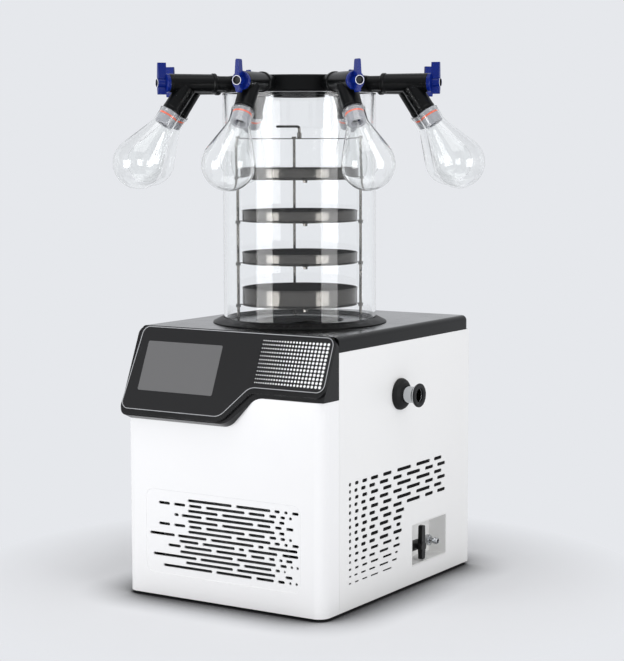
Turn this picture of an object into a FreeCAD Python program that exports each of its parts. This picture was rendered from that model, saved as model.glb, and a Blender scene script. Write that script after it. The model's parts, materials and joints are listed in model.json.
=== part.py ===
import FreeCAD, Part
import math
import os
import re
import Sketcher
from FreeCAD import Placement, Rotation, Vector

# Benchtop manifold freeze dryer.
# Frame: millimetres, +Z up, -Y the operator's side, +X the operator's right.
# Origin: on the bench, under the axis of the vacuum chamber.

os.makedirs("parts", exist_ok=True)
doc = FreeCAD.newDocument("freeze_dryer")

# ---------------------------------------------------------------- dimensions
DIMENSIONS = [
    # cabinet
    ("cabinet_width", 393, "outer width of the cabinet"),
    ("cabinet_depth", 492, "front face to rear panel"),
    ("chamber_setback", 239, "front face to chamber axis"),
    ("foot_height", 5, "bench to underside of the cabinet"),
    ("foot_radius", 14, "rubber foot"),
    ("foot_inset", 26, "foot centre from the cabinet's sides"),
    ("body_height", 423, "height of the white panels"),
    ("cover_height", 25, "height of the dark cover's rolled edge"),
    ("cover_wall", 2, "thickness of the top cover"),
    ("cover_roll", 9, "radius of the rolled edge"),
    ("corner_radius", 20, "front vertical edges"),
    ("moulding_wall", 3, "wall of the front moulding"),
    ("moulding_return", 48.5, "front face to the seam with the side panels"),
    ("panel_sheet", 1.5, "steel sheet of the panels"),
    ("pan_sheet", 2, "steel sheet of the base pan"),
    ("pan_lip", 22, "height of the pan's upturned edge"),
    ("seam_gap", 0.3, "gap at seams between panels"),
    # front grille
    ("recess_depth", 0.8, "depth of the field round the front slots"),
    ("recess_left", -155, "left edge of the field"),
    ("recess_right", 154, "right edge of the field"),
    ("recess_low", 42, "lower edge of the field"),
    ("recess_high", 185, "upper edge of the field"),
    ("recess_radius", 16, "corner radius of the field"),
    ("front_slot_height", 4.9, "height of one front slot"),
    ("front_row_pitch", 8.79, "pitch of the front rows"),
    ("front_row_top", 171.25, "height of the top front row"),
    # side vents
    ("vent_first", -160, "front end of the rows of side slots"),
    ("vent_row_top", 210.75, "height of the top row of side slots"),
    ("vent_pitch", 11.65, "pitch of the rows of side slots"),
    ("vent_height", 6, "height of one side slot"),
    ("press_depth", 0.5, "depth of the pressed field round the side slots"),
    ("filter_gap", 0.2, "between the side panels and the filter pads"),
    ("filter_thick", 4, "thickness of the filter pads behind the side slots"),
    # air outlet at the rear
    ("outlet_left", -40, "left end of the first column of outlet slots"),
    ("outlet_step", 90, "first column of outlet slots to the second"),
    ("outlet_length", 80, "length of an outlet slot"),
    ("outlet_low", 60, "lower edge of the lowest outlet slot"),
    ("outlet_height", 5, "height of an outlet slot"),
    ("outlet_pitch", 11, "pitch of the rows of outlet slots"),
    ("outlet_rows", 10, "rows of outlet slots"),
    # control housing
    ("fascia_tilt", 23, "fascia's lean back from the vertical"),
    ("fascia_drop", 75.2, "pivot line of the fascia's plane below the top of the body"),
    ("fascia_base_z", "=foot_height + body_height - fascia_drop", "height of the fascia's pivot line"),
    ("fascia_base_gap", 2, "pivot line ahead of the front face"),
    ("fascia_low", -35.5, "lower edge of the fascia, along its slope"),
    ("fascia_step", 17.8, "lower edge of the fascia right of the sweep"),
    ("fascia_high", 107.5, "upper edge of the fascia"),
    ("fascia_left", -193.5, "lower left corner of the fascia"),
    ("fascia_flare", 10.5, "how far the left edge leans in towards the top"),
    ("fascia_right", 193, "right edge of the fascia"),
    ("sweep_low_x", 7.4, "where the sweep leaves the low edge"),
    ("sweep_high_x", 54.3, "where the sweep meets the high edge"),
    ("sweep_radius", 24, "radius at both ends of the sweep"),
    ("fascia_radius", 13, "outer corners of the fascia"),
    ("fascia_sheet", 1.5, "thickness of the fascia panel"),
    ("fascia_recess", 1.7, "depth of the seat for the fascia panel"),
    ("bead_width", 1.3, "width of the bright bead round the fascia"),
    ("bead_proud", 0.5, "bead above the rim"),
    ("rim_side", 3, "rim outside the fascia, sides and top"),
    ("rim_low", 10, "rim outside the fascia, below"),
    ("rim_depth", 8, "thickness of the rim"),
    ("rim_edge", 0.8, "step round the rim's front edge"),
    ("flank_low", -47, "lower edge of the flank behind the rim"),
    ("flank_step", 0, "lower edge of the flank right of the sweep"),
    ("flank_low_x", 20, "where the flank's sweep leaves the low edge"),
    ("flank_high_x", 68.7, "where the flank's sweep meets the high edge"),
    ("flank_radius", 34, "radius at both ends of the flank's sweep"),
    ("housing_wall", 3, "wall of the control housing"),
    # screen
    ("screen_left", -168, "left edge of the touch screen"),
    ("screen_width", 152, "width of the touch screen"),
    ("screen_low", -2.8, "lower edge of the touch screen"),
    ("screen_height", 86.3, "height of the touch screen"),
    ("screen_radius", 3, "corners of the touch screen"),
    ("module_depth", 9, "thickness of the display module"),
    # drain niche
    ("niche_front", 47, "front edge of the niche"),
    ("niche_length", 124, "length of the niche"),
    ("niche_low", 35, "lower edge of the niche"),
    ("niche_height", 73, "height of the niche"),
    ("niche_depth", 34, "depth of the niche"),
    ("niche_wall", 2, "wall of the niche"),
    ("drain_z", 62, "height of the drain valve"),
    ("drain_y", 92, "drain valve spindle from the chamber axis"),
    ("drain_body_radius", 9, "drain valve body"),
    ("drain_body_inset", 20, "valve body axis behind the side face"),
    ("lever_up", 37, "spindle to the upper end of the drain lever"),
    ("lever_down", 22.5, "spindle to the lower end of the drain lever"),
    ("lever_width", 13, "width of the drain lever"),
    ("lever_sheet", 8, "thickness of the drain lever"),
    ("nozzle_y", 142, "drain nozzle from the chamber axis"),
    ("nozzle_length", 33.5, "length of the drain nozzle"),
    ("nozzle_radius", 5.5, "outside of the nozzle's tube"),
    ("nozzle_bore", 3.5, "bore radius of the nozzle"),
    ("nut_flats", 17, "drain nozzle nut across flats"),
    # vacuum port
    ("port_y", 4, "vacuum port from the chamber axis"),
    ("port_drop", 88, "vacuum port below the top of the body"),
    ("port_z", "=foot_height + body_height - port_drop", "height of the vacuum port"),
    ("port_bore", 12, "bore radius of the port"),
    ("port_tube", 14, "outer radius of the port's tube"),
    ("port_flange", 20, "radius of the port's flange"),
    ("port_reach", 40, "side face to the flange's face"),
    ("boot_radius", 26.8, "rubber collar on the side panel"),
    ("boot_length", 13, "thickness of the rubber collar"),
    # cold trap
    ("trap_radius", 75, "inside of the cold trap"),
    ("trap_wall", 1.5, "wall of the cold trap"),
    ("trap_depth", 200, "depth of the cold trap"),
    ("trap_rim", 12, "width of the trap's rim"),
    ("jacket_wall", 3, "evaporator jacket round the trap"),
    ("foam_radius", 116, "foam round the trap"),
    ("foam_floor", 18, "foam under the trap"),
    # chamber
    ("tube_radius", 131, "outside of the acrylic chamber"),
    ("tube_wall", 5, "wall of the acrylic chamber"),
    ("tube_length", 385, "length of the acrylic chamber"),
    ("seal_height", 2, "thickness of the chamber seals"),
    ("flange_spread", 18.5, "foot of the chamber flange beyond the chamber"),
    ("flange_radius", "=tube_radius + flange_spread", "foot of the chamber flange"),
    ("flange_height", 9, "height of the chamber flange"),
    ("flange_land", 3.5, "top of the chamber flange beyond the chamber"),
    ("flange_top_radius", "=tube_radius + flange_land", "top of the chamber flange"),
    ("flange_seat", 4, "thickness of the flange under the chamber"),
    ("deck_radius", 119.7, "glossy disc round the trap's mouth"),
    ("deck_height", 3, "thickness of the disc"),
    # manifold
    ("hub_inset", 4, "hub within the chamber's outside"),
    ("hub_radius", "=tube_radius - hub_inset", "manifold hub"),
    ("hub_height", 26, "thickness of the hub"),
    ("hub_roof", 4, "roof of the hub"),
    ("hub_floor", 4, "floor of the hub"),
    ("plug_radius", 44, "gas inlet boss under the hub"),
    ("plug_step_radius", 52, "upper step of the boss"),
    ("plug_depth", 9, "boss below the hub"),
    ("plug_bore", 34, "bore radius of the boss"),
    ("nipple_radius", 12.4, "hub's port nipples"),
    ("nipple_bore", 8, "bore radius of the nipples"),
    ("nipple_length", 47, "nipple beyond the hub"),
    ("nipple_reach", "=hub_radius + nipple_length", "end of a nipple from the axis"),
    ("port_count", 8, "ports round the hub"),
    ("first_port", 9.95, "first port's angle from the front, towards the right"),
    # valves
    ("barrel_gap", 24, "hub to the inner end of a valve barrel"),
    ("barrel_start", "=hub_radius + barrel_gap", "inner end of a valve barrel from the axis"),
    ("barrel_length", 82, "length of a valve barrel"),
    ("barrel_end", "=barrel_start + barrel_length", "outer end of a valve barrel"),
    ("barrel_radius", 15.4, "outside of the barrel"),
    ("barrel_lip", 16.8, "radius of the lip at the inner end"),
    ("barrel_fit", 0.1, "play between barrel and nipple"),
    ("spigot_radius", 11, "valve plug"),
    ("spigot_play", 0.3, "play between plug and barrel"),
    ("spigot_depth", 51, "length of the plug within the barrel"),
    ("spigot_start", "=barrel_end - spigot_depth", "inner end of the plug"),
    ("valve_bore", 6.5, "bore radius of the valve's ways"),
    ("branch_setback", 47, "inner end of the barrel to the branch"),
    ("branch_start", "=barrel_start + branch_setback", "branch leaves the barrel's axis here"),
    ("branch_angle", 34, "branch's angle from the vertical"),
    ("branch_radius", 16.8, "branch where it leaves the barrel"),
    ("branch_taper", 0.6, "taper of the branch"),
    ("branch_length", 57, "barrel axis to the end of the branch"),
    ("stub_radius", 10, "stub inside the stopper"),
    ("stub_length", 17, "stub beyond the branch"),
    ("knob_radius", 15.2, "disc of the valve handle"),
    ("knob_sheet", 6, "thickness of the disc"),
    ("boss_radius", 7.6, "boss of the valve handle"),
    ("boss_length", 21, "end of the boss beyond the barrel"),
    ("boss_reach", "=barrel_end + boss_length", "end of the boss from the axis"),
    ("boss_bore", 6.4, "radius of the hole in the boss"),
    ("paddle_reach", 33.5, "tip of the long paddle from the plug's axis"),
    ("paddle_short", 19, "tip of the short paddle"),
    ("paddle_sheet", 8.4, "thickness of the paddles"),
    ("paddle_depth", 15, "depth of the paddles"),
    # flasks
    ("neck_radius", 17.9, "outside of the flask's neck"),
    ("neck_length", 27, "length of the neck"),
    ("neck_lip", 19.2, "radius of the neck's lip"),
    ("glass_wall", 1.6, "wall of the flask"),
    ("bulb_radius", 43, "outside of the bulb"),
    ("bulb_centre", 159, "barrel axis to the bulb's centre, along the branch"),
    ("stopper_length", 25, "length of the silicone stopper"),
    ("stopper_fit", 0.15, "play between stopper and neck"),
    ("ring_section", 3, "width of the orange ring"),
    ("ring_drop", 7, "ring below the top of the stopper"),
    # rack and trays
    ("tray_radius", 100, "outside of a tray"),
    ("rack_angle", 37.8, "right rod's angle from the cabinet's right"),
    ("rod_gap", 6, "rods' axes beyond the trays"),
    ("rod_circle", "=tray_radius + rod_gap", "rods from the chamber axis"),
    ("rod_radius", 2.4, "rack rods"),
    ("rack_height", 310, "deck to the top plate"),
    ("plate_sheet", 1.6, "plates of the rack"),
    ("plate_edge", 3, "top plate beyond the rods' axes"),
    ("plate_radius", "=rod_circle + plate_edge", "top plate of the rack"),
    ("shelf_inset", 1, "shelf ring within the tray"),
    ("shelf_outer", "=tray_radius - shelf_inset", "outer radius of a shelf ring"),
    ("shelf_width", 9, "width of a shelf ring"),
    ("shelf_inner", "=shelf_outer - shelf_width", "inner radius of a shelf ring"),
    ("lug_width", 10, "width of the lugs that reach the rods"),
    ("tray_count", 4, "trays on the rack"),
    ("tray_wall", 1, "wall of a tray"),
    ("tray_height", 17.5, "height of a shallow tray"),
    ("deep_tray_height", 28.5, "height of the lowest tray"),
    ("tray_spacing", 71.7, "spacing of the trays"),
    ("lowest_tray", 28.4, "deck to the underside of the lowest tray"),
    ("bail_radius", 2, "wire of the rack's lifting handle"),
    ("bail_height", 22, "height of the lifting handle"),
    ("bail_reach", 40, "length of the lifting handle"),
    ("bail_gap", 10, "between the lifting handle's wires"),
    # machinery
    ("compressor_radius", 68, "compressor shell"),
    ("compressor_height", 172, "height of the compressor shell"),
    ("compressor_x", -70, "compressor from the chamber axis"),
    ("compressor_y", 130, "compressor from the chamber axis"),
    ("mount_height", 14, "rubber mounts of the compressor"),
    ("condenser_width", 250, "width of the condenser"),
    ("condenser_depth", 34, "depth of the condenser"),
    ("condenser_height", 196, "height of the condenser"),
    ("fin_count", 12, "grooves shown between groups of fins"),
    ("fin_groove", 4, "depth of the grooves"),
    ("shroud_size", 190, "fan shroud"),
    ("shroud_depth", 30, "depth of the fan shroud"),
    ("fan_radius", 80, "tip of the fan's blades"),
    ("fan_play", 3, "between blade tips and shroud"),
    ("fan_hub", 22, "hub of the fan"),
    ("fan_width", 16, "depth of the fan"),
    ("blade_count", 5, "blades of the fan"),
    ("motor_radius", 32, "fan motor"),
    ("motor_length", 42, "length of the fan motor"),
    # rear
    ("inlet_x", -130, "power inlet from the middle"),
    ("inlet_z", 70, "height of the power inlet"),
    ("inlet_width", 48, "width of the power inlet"),
    ("inlet_height", 27, "height of the power inlet's socket"),
    ("rocker_z", 108, "height of the power switch"),
    ("rocker_width", 22, "width of the power rocker"),
    ("rocker_height", 26, "height of the power rocker"),
    ("hose_radius", 5, "drain hose"),
    ("hose_bore", 3, "bore radius of the drain hose"),
    ("hose_bend", 24, "bend radius of the drain hose"),
    ("hose_y", 28, "drain hose from the chamber axis"),
    ("fan_z", 105, "height of the fan's axis"),
]

sheet = doc.addObject("Spreadsheet::Sheet", "Dims")
for row, (alias, value, meaning) in enumerate(DIMENSIONS, start=1):
    sheet.set("A%d" % row, alias)
    sheet.set("B%d" % row, str(value))
    sheet.set("C%d" % row, meaning)
    sheet.setAlias("B%d" % row, alias)
doc.recompute()
NODES = []


# ------------------------------------------------------------------- helpers
ALIASES = {alias for alias, value, meaning in DIMENSIONS}


def bound(expression):
    """The expression with each dimension written as its cell of the sheet."""
    def cell(match):
        word = match.group()
        return "Dims." + word if word in ALIASES else word
    return re.sub(r"[a-z]\w*", cell, str(expression))


def dim(expression):
    """The value of an expression in the sheet's dimensions."""
    value = sheet.evalExpression(bound(expression))
    return float(getattr(value, "Value", value))


def whole(name):
    """A count in the sheet, as a whole number."""
    return int(dim(name))


def new_body(name):
    body = doc.addObject("PartDesign::Body", name)
    body.Label = name
    NODES.append(body)
    return body


def new_sketch(body, plane, offset="0", origin=("0", "0"), turn="0"):
    """A sketch parallel to a plane of the body's origin.

    offset is measured along +X, +Y or +Z from the plane, origin moves the sketch's
    own origin within the plane and turn rotates it there, in degrees.
    """
    sketch = body.newObject("Sketcher::SketchObject", body.Name + "_sketch")
    roles = {feature.Role: feature for feature in body.Origin.OriginFeatures}
    sketch.AttachmentSupport = [(roles[plane + "_Plane"], "")]
    sketch.MapMode = "FlatFace"
    sketch.AttachmentOffset = Placement(Vector(), Rotation(Vector(0, 0, 1), dim(turn)))
    sign = "-" if plane == "XZ" else ""
    sketch.setExpression("AttachmentOffset.Base.x", bound(origin[0]))
    sketch.setExpression("AttachmentOffset.Base.y", bound(origin[1]))
    sketch.setExpression("AttachmentOffset.Base.z", bound("%s(%s)" % (sign, offset)))
    if turn != "0":
        sketch.setExpression("AttachmentOffset.Rotation.Angle", bound(turn))
    return sketch


def slope_sketch(body, depth="0"):
    """A sketch parallel to the sloping fascia, depth behind its plane.

    Its x runs along the cabinet's width and its y up the slope.
    """
    sketch = body.newObject("Sketcher::SketchObject", body.Name + "_slope")
    roles = {feature.Role: feature for feature in body.Origin.OriginFeatures}
    sketch.AttachmentSupport = [(roles["XZ_Plane"], "")]
    sketch.MapMode = "FlatFace"
    sketch.AttachmentOffset = Placement(Vector(), Rotation(Vector(1, 0, 0), -dim("fascia_tilt")))
    rise = "fascia_base_z - (%s) * sin(fascia_tilt)" % depth
    lead = "chamber_setback + fascia_base_gap - (%s) * cos(fascia_tilt)" % depth
    sketch.setExpression("AttachmentOffset.Base.y", bound(rise))
    sketch.setExpression("AttachmentOffset.Base.z", bound(lead))
    sketch.setExpression("AttachmentOffset.Rotation.Angle", bound("-fascia_tilt"))
    return sketch


def pin_point(sketch, geometry, point, x, y):
    """Hold a point of a sketch at two expressions."""
    for kind, expression in (("DistanceX", x), ("DistanceY", y)):
        constraint = Sketcher.Constraint(kind, -1, 1, geometry, point, dim(expression))
        index = sketch.addConstraint(constraint)
        sketch.setExpression("Constraints[%d]" % index, bound(expression))


def outline(sketch, corners):
    """Draw a closed outline through the corners.

    A corner is (x, y). With (x, y, radius, side) an arc leads on to the next corner,
    bulging to the left (+1) or the right (-1) of the way there.
    """
    first = len(sketch.Geometry)
    count = len(corners)
    points = [Vector(dim(corner[0]), dim(corner[1]), 0) for corner in corners]
    for index, corner in enumerate(corners):
        start, end = points[index], points[(index + 1) % count]
        if len(corner) == 2:
            sketch.addGeometry(Part.LineSegment(start, end))
            continue
        chord = end - start
        half = chord.Length / 2
        radius = dim(corner[2])
        sagitta = radius - math.sqrt(max(radius ** 2 - half ** 2, 0))
        left = Vector(-chord.y, chord.x, 0).normalize()
        middle = (start + end) / 2 + left * sagitta * corner[3]
        ahead = corner[3] < 0
        sketch.addGeometry(Part.Arc(start, middle, end) if ahead else Part.Arc(end, middle, start))
    ends = []
    for index, corner in enumerate(corners):
        curve = sketch.Geometry[first + index]
        forward = curve.StartPoint.distanceToPoint(points[index]) < 1e-6
        ends.append((1, 2) if forward else (2, 1))
    for index, corner in enumerate(corners):
        follower = (index + 1) % count
        join = (first + index, ends[index][1], first + follower, ends[follower][0])
        sketch.addConstraint(Sketcher.Constraint("Coincident", *join))
        pin_point(sketch, first + index, ends[index][0], corner[0], corner[1])
        if len(corner) > 2:
            constraint = Sketcher.Constraint("Radius", first + index, dim(corner[2]))
            number = sketch.addConstraint(constraint)
            sketch.setExpression("Constraints[%d]" % number, bound(corner[2]))


def rectangle(sketch, left, right, low, high):
    outline(sketch, [(left, low), (right, low), (right, high), (left, high)])


def circle(sketch, radius, x="0", y="0"):
    centre = Vector(dim(x), dim(y), 0)
    index = sketch.addGeometry(Part.Circle(centre, Vector(0, 0, 1), dim(radius)))
    pin_point(sketch, index, 3, x, y)
    number = sketch.addConstraint(Sketcher.Constraint("Radius", index, dim(radius)))
    sketch.setExpression("Constraints[%d]" % number, bound(radius))


def is_backward(sketch):
    """An XZ sketch looks along -Y, so its features are reversed to run along +Y."""
    return sketch.AttachmentSupport[0][0].Role == "XZ_Plane"


def pad(body, sketch, length):
    """Extrude towards +X, +Y or +Z, or inwards from the sloping fascia."""
    feature = body.newObject("PartDesign::Pad", body.Name + "_pad")
    feature.Profile = sketch
    feature.Reversed = is_backward(sketch)
    feature.setExpression("Length", bound(length))
    doc.recompute()
    return feature


def cut(body, sketch, length):
    """Cut towards +X, +Y or +Z, or inwards from the sloping fascia."""
    before = body.Shape.Volume
    feature = body.newObject("PartDesign::Pocket", body.Name + "_pocket")
    feature.Profile = sketch
    feature.Reversed = not is_backward(sketch)
    feature.setExpression("Length", bound(length))
    doc.recompute()
    if not body.Shape.Volume < before - 1e-6:
        raise RuntimeError("a pocket of %s cut nothing" % body.Label)
    return feature


def revolve(body, sketch, axis="V_Axis"):
    feature = body.newObject("PartDesign::Revolution", body.Name + "_revolution")
    feature.Profile = sketch
    feature.ReferenceAxis = (sketch, [axis])
    feature.Angle = 360
    doc.recompute()
    return feature


def groove(body, sketch, axis="V_Axis"):
    before = body.Shape.Volume
    feature = body.newObject("PartDesign::Groove", body.Name + "_groove")
    feature.Profile = sketch
    feature.ReferenceAxis = (sketch, [axis])
    feature.Angle = 360
    doc.recompute()
    if not body.Shape.Volume < before - 1e-6:
        raise RuntimeError("a groove of %s cut nothing" % body.Label)
    return feature


def edges_where(shape, test):
    """Names of a shape's edges whose end points pass the test."""
    names = []
    for number, edge in enumerate(shape.Edges, start=1):
        ends = [vertex.Point for vertex in edge.Vertexes]
        if len(ends) == 2 and test(ends[0], ends[1], edge):
            names.append("Edge%d" % number)
    return names


def soften(body, names, radius, kind="Fillet"):
    """Fillet or chamfer the named edges of the body's last feature."""
    if not names:
        raise RuntimeError("no edge of %s was found to soften" % body.Label)
    base = body.Tip
    feature = body.newObject("PartDesign::" + kind, body.Name + "_" + kind.lower())
    feature.Base = (base, names)
    size = "Radius" if kind == "Fillet" else "Size"
    feature.setExpression(size, bound(radius))
    body.Tip = feature
    doc.recompute()
    return feature


def repeat_linear(body, features, axis, length, count, back=False):
    """Repeat features along an axis of the body's origin."""
    pattern = body.newObject("PartDesign::LinearPattern", body.Name + "_row")
    roles = {feature.Role: feature for feature in body.Origin.OriginFeatures}
    pattern.Originals = features
    pattern.Direction = (roles[axis + "_Axis"], [""])
    pattern.Reversed = back
    pattern.setExpression("Length", bound(length))
    pattern.Occurrences = count
    body.Tip = pattern
    doc.recompute()
    return pattern


def repeat_round(body, features, axis, count):
    """Repeat features round an axis of the body's origin."""
    pattern = body.newObject("PartDesign::PolarPattern", body.Name + "_round")
    roles = {feature.Role: feature for feature in body.Origin.OriginFeatures}
    pattern.Originals = features
    pattern.Axis = (roles[axis + "_Axis"], [""])
    pattern.Angle = 360
    pattern.Occurrences = count
    body.Tip = pattern
    doc.recompute()
    return pattern


def rounded(corners):
    """Turn (x, y, radius) corners of an outline into arcs that meet its sides smoothly."""
    result = []
    count = len(corners)
    for index, corner in enumerate(corners):
        if len(corner) == 2:
            result.append(corner)
            continue
        before, after = corners[index - 1], corners[(index + 1) % count]
        x, y, radius = corner
        ways = []
        for other in (before, after):
            run = "((%s) - (%s))" % (other[0], x)
            rise = "((%s) - (%s))" % (other[1], y)
            ways.append((run, rise, "hypot(%s; %s)" % (run, rise)))
        (run_a, rise_a, length_a), (run_b, rise_b, length_b) = ways
        cosine = "((%s * %s + %s * %s) / (%s * %s))" % (
            run_a, run_b, rise_a, rise_b, length_a, length_b)
        reach = "((%s) * sqrt((1 + %s) / (1 - %s)))" % (radius, cosine, cosine)
        turn = dim(run_a) * dim(rise_b) - dim(rise_a) * dim(run_b)
        side = -1 if turn < 0 else 1
        start = ["(%s) + %s * %s / %s" % (x, reach, run_a, length_a),
                 "(%s) + %s * %s / %s" % (y, reach, rise_a, length_a)]
        end = ["(%s) + %s * %s / %s" % (x, reach, run_b, length_b),
               "(%s) + %s * %s / %s" % (y, reach, rise_b, length_b)]
        result.append((start[0], start[1], radius, side))
        result.append((end[0], end[1]))
    return result


def primitive(kind, name, label, sizes, base):
    """A Part primitive with its sizes and its place bound to the sheet."""
    solid = doc.addObject("Part::" + kind, name)
    solid.Label = label
    for size, expression in sizes.items():
        solid.setExpression(size, bound(expression))
    for axis, expression in zip("xyz", base):
        solid.setExpression("Placement.Base." + axis, bound(expression))
    return solid


def group(name, solids):
    """One node that holds several separate solids of the same kind."""
    compound = doc.addObject("Part::Compound", name)
    compound.Links = solids
    compound.Label = name
    NODES.append(compound)
    return compound


# -------------------------------------------------------------- named places
SIDE = "(cabinet_width / 2)"
FRONT = "(-chamber_setback)"
BACK = "(cabinet_depth - chamber_setback)"
SEAM = "(moulding_return - chamber_setback)"
BODY_TOP = "(foot_height + body_height)"
COVER_TOP = "(foot_height + body_height + cover_height)"
DECK_TOP = "(%s + deck_height)" % COVER_TOP
PAN_TOP = "(foot_height + pan_sheet)"
TUBE_LOW = "(%s + flange_seat + seal_height)" % COVER_TOP
HUB_LOW = "(%s + tube_length + seal_height)" % TUBE_LOW
PORT_Z = "(%s + hub_height / 2)" % HUB_LOW
PANEL_INSIDE = "(%s - panel_sheet)" % SIDE


def level_at_face(slope_height):
    """Height at which a flank of the housing meets the cabinet's front face."""
    return "(fascia_base_z - fascia_base_gap * tan(fascia_tilt) + (%s) / cos(fascia_tilt))" % slope_height


FLANK_LOW_Z = level_at_face("flank_low") + " + 0.8"
FLANK_STEP_Z = level_at_face("flank_step") + " + 0.8"


# ------------------------------------------------------------------- cabinet
def base_pan():
    """Folded steel tray that everything stands on."""
    body = new_body("base_pan")
    half = "(%s - moulding_wall - seam_gap)" % SIDE
    front = "(%s + moulding_wall + seam_gap)" % FRONT
    back = "(%s - 2 * panel_sheet - 2 * seam_gap)" % BACK
    corner = "(corner_radius - moulding_wall - seam_gap)"
    outer = [("-" + half, back), ("-" + half, front, corner), (half, front, corner), (half, back)]
    sketch = new_sketch(body, "XY", "foot_height")
    outline(sketch, rounded(outer))
    pad(body, sketch, "pan_lip")
    inner_half = "(%s - pan_sheet)" % half
    inner_front = "(%s + pan_sheet)" % front
    inner_back = "(%s - pan_sheet)" % back
    inner_corner = "(%s - pan_sheet)" % corner
    inner = [("-" + inner_half, inner_back), ("-" + inner_half, inner_front, inner_corner),
             (inner_half, inner_front, inner_corner), (inner_half, inner_back)]
    sketch = new_sketch(body, "XY", PAN_TOP)
    outline(sketch, rounded(inner))
    cut(body, sketch, "pan_lip")


def feet():
    """Four rubber feet under the pan."""
    solids = []
    for number, (right, rear) in enumerate(((-1, -1), (1, -1), (-1, 1), (1, 1)), start=1):
        x = "%d * (%s - foot_inset)" % (right, SIDE)
        y = "%s - foot_inset" % BACK if rear > 0 else "%s + foot_inset" % FRONT
        sizes = {"Radius1": "foot_radius - 2", "Radius2": "foot_radius", "Height": "foot_height"}
        solids.append(primitive("Cone", "foot", "foot_%d" % number, sizes, (x, y, "0")))
    group("feet", solids)


FRONT_ROWS = [
    # first row, rows on to the next one like it, how many, slots as (left, right)
    (0, 6, 2, [(-69, 20), (28, 96), (103, 114), (122, 129), (137, 150)]),
    (1, 4, 2, [(-129, -105.5), (-97.5, -74), (-67, -40.5), (-32.5, 45.5), (52.5, 85), (93, 107),
               (114.5, 124), (131, 137)]),
    (2, 2, 2, [(-69, -8), (0, 104), (112, 123)]),
    (3, 1, 1, [(-97, -87.5), (-82, -40.5), (-33, 62.5), (69.5, 96), (104, 117.5), (125.5, 140)]),
    (7, 1, 1, [(-148, -96), (-90, -31), (-23, 63), (71, 82.5), (90.5, 147.5)]),
    (8, 1, 1, [(-87, -47.5), (-40, 25.5), (33, 44), (51.5, 109), (118, 149)]),
    (9, 1, 1, [(-110, -84), (-77, -20.5), (-12.5, 49), (57, 84.5), (92, 104), (112, 119), (125, 138)]),
    (10, 1, 1, [(-86, 21.5), (29, 106), (114, 127), (134, 139), (145, 150)]),
    (11, 1, 1, [(-141, -51.5), (-44.5, 35.5), (43, 97.5), (105, 114), (121, 125)]),
    (12, 1, 1, [(-74, 21.5), (29, 105), (124, 138)]),
    (13, 1, 1, [(-120, -20), (-12.5, 59), (67, 102), (109.5, 123), (131, 136), (143, 148)]),
]


def front_moulding():
    """Moulded front with round edges, a sunk field of slots and a seat for the housing."""
    body = new_body("front_moulding")
    radius = "corner_radius"
    inner = "(corner_radius - moulding_wall)"
    inside = "(%s - moulding_wall)" % SIDE
    behind = "(%s + moulding_wall)" % FRONT
    corners = [("-" + SIDE, SEAM), ("-" + SIDE, FRONT, radius), (SIDE, FRONT, radius), (SIDE, SEAM),
               (inside, SEAM), (inside, behind, inner), ("-" + inside, behind, inner),
               ("-" + inside, SEAM)]
    sketch = new_sketch(body, "XY", "foot_height")
    outline(sketch, rounded(corners))
    step = "(%s - seam_gap)" % FLANK_STEP_Z
    low = "(%s - seam_gap)" % FLANK_LOW_Z
    pad(body, sketch, "%s - foot_height" % step)
    above = "(%s + 10)" % step
    outside = "-(%s + 10)" % SIDE
    sketch = new_sketch(body, "XZ", "%s - 5" % FRONT)
    outline(sketch, rounded([(outside, low), ("flank_low_x", low, "flank_radius"),
                             ("flank_high_x", step, "flank_radius"), ("%s + 10" % SIDE, step),
                             ("%s + 10" % SIDE, above), (outside, above)]))
    cut(body, sketch, "moulding_return + 10")
    sketch = new_sketch(body, "XZ", FRONT)
    outline(sketch, rounded([("recess_left", "recess_low", "recess_radius"),
                             ("recess_right", "recess_low", "recess_radius"),
                             ("recess_right", "recess_high", "recess_radius"),
                             ("recess_left", "recess_high", "recess_radius")]))
    cut(body, sketch, "recess_depth")
    for first, step_rows, count, slots in FRONT_ROWS:
        sketch = new_sketch(body, "XZ", FRONT)
        middle = "(front_row_top - %d * front_row_pitch)" % first
        for left, right in slots:
            rectangle(sketch, str(left), str(right), "%s - front_slot_height / 2" % middle,
                      "%s + front_slot_height / 2" % middle)
        row = cut(body, sketch, "moulding_wall + 1")
        if count > 1:
            reach = "%d * front_row_pitch" % (step_rows * (count - 1))
            repeat_linear(body, [row], "Z", reach, count, back=True)


SHORT_ROW = [(0, 8), (19.5, 31.25), (42.5, 58.75), (70, 94.5), (110, 138.75)]
LONG_ROW = [(0.75, 7.5), (17.5, 28), (38.75, 53.75), (65, 84.25), (98.75, 128)]
VENT_ROWS = [
    # first row, rows two pitches apart, part of the full height, slots from the rows' front end
    (0, 3, 1, SHORT_ROW + [(157, 205), (223, 271.75), (286.25, 313.75)]),
    (1, 3, 1, LONG_ROW + [(143.75, 173.75), (190, 237), (254.25, 283.25), (298, 327)]),
    (6, 1, 1, SHORT_ROW + [(152.5, 181.75)]),
    (7, 2, 1, LONG_ROW + [(144.25, 173.75)]),
    (8, 1, 1, SHORT_ROW + [(154.5, 169.5)]),
    (10, 1, 0.83, SHORT_ROW + [(150.75, 164.25)]),
    (11, 1, 0.75, LONG_ROW + [(144.25, 167.5)]),
    (12, 1, 0.63, SHORT_ROW + [(150.75, 160)]),
    (13, 1, 0.53, LONG_ROW + [(140.5, 157)]),
    (14, 1, 0.42, SHORT_ROW),
]
# pressed field round the slots: distance from the rows' front end, height from the top row
PRESSED_FIELD = [(-8, -173, 8), (152, -173, 8), (184, -94, 30), (206, -65, 16), (339, -65, 5),
                 (339, 6, 8), (-8, 6, 8)]
FILTER_LOW, FILTER_HIGH, FILTER_STEP = "(vent_row_top - 167)", "(vent_row_top + 5)", "(vent_row_top - 62)"


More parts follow.
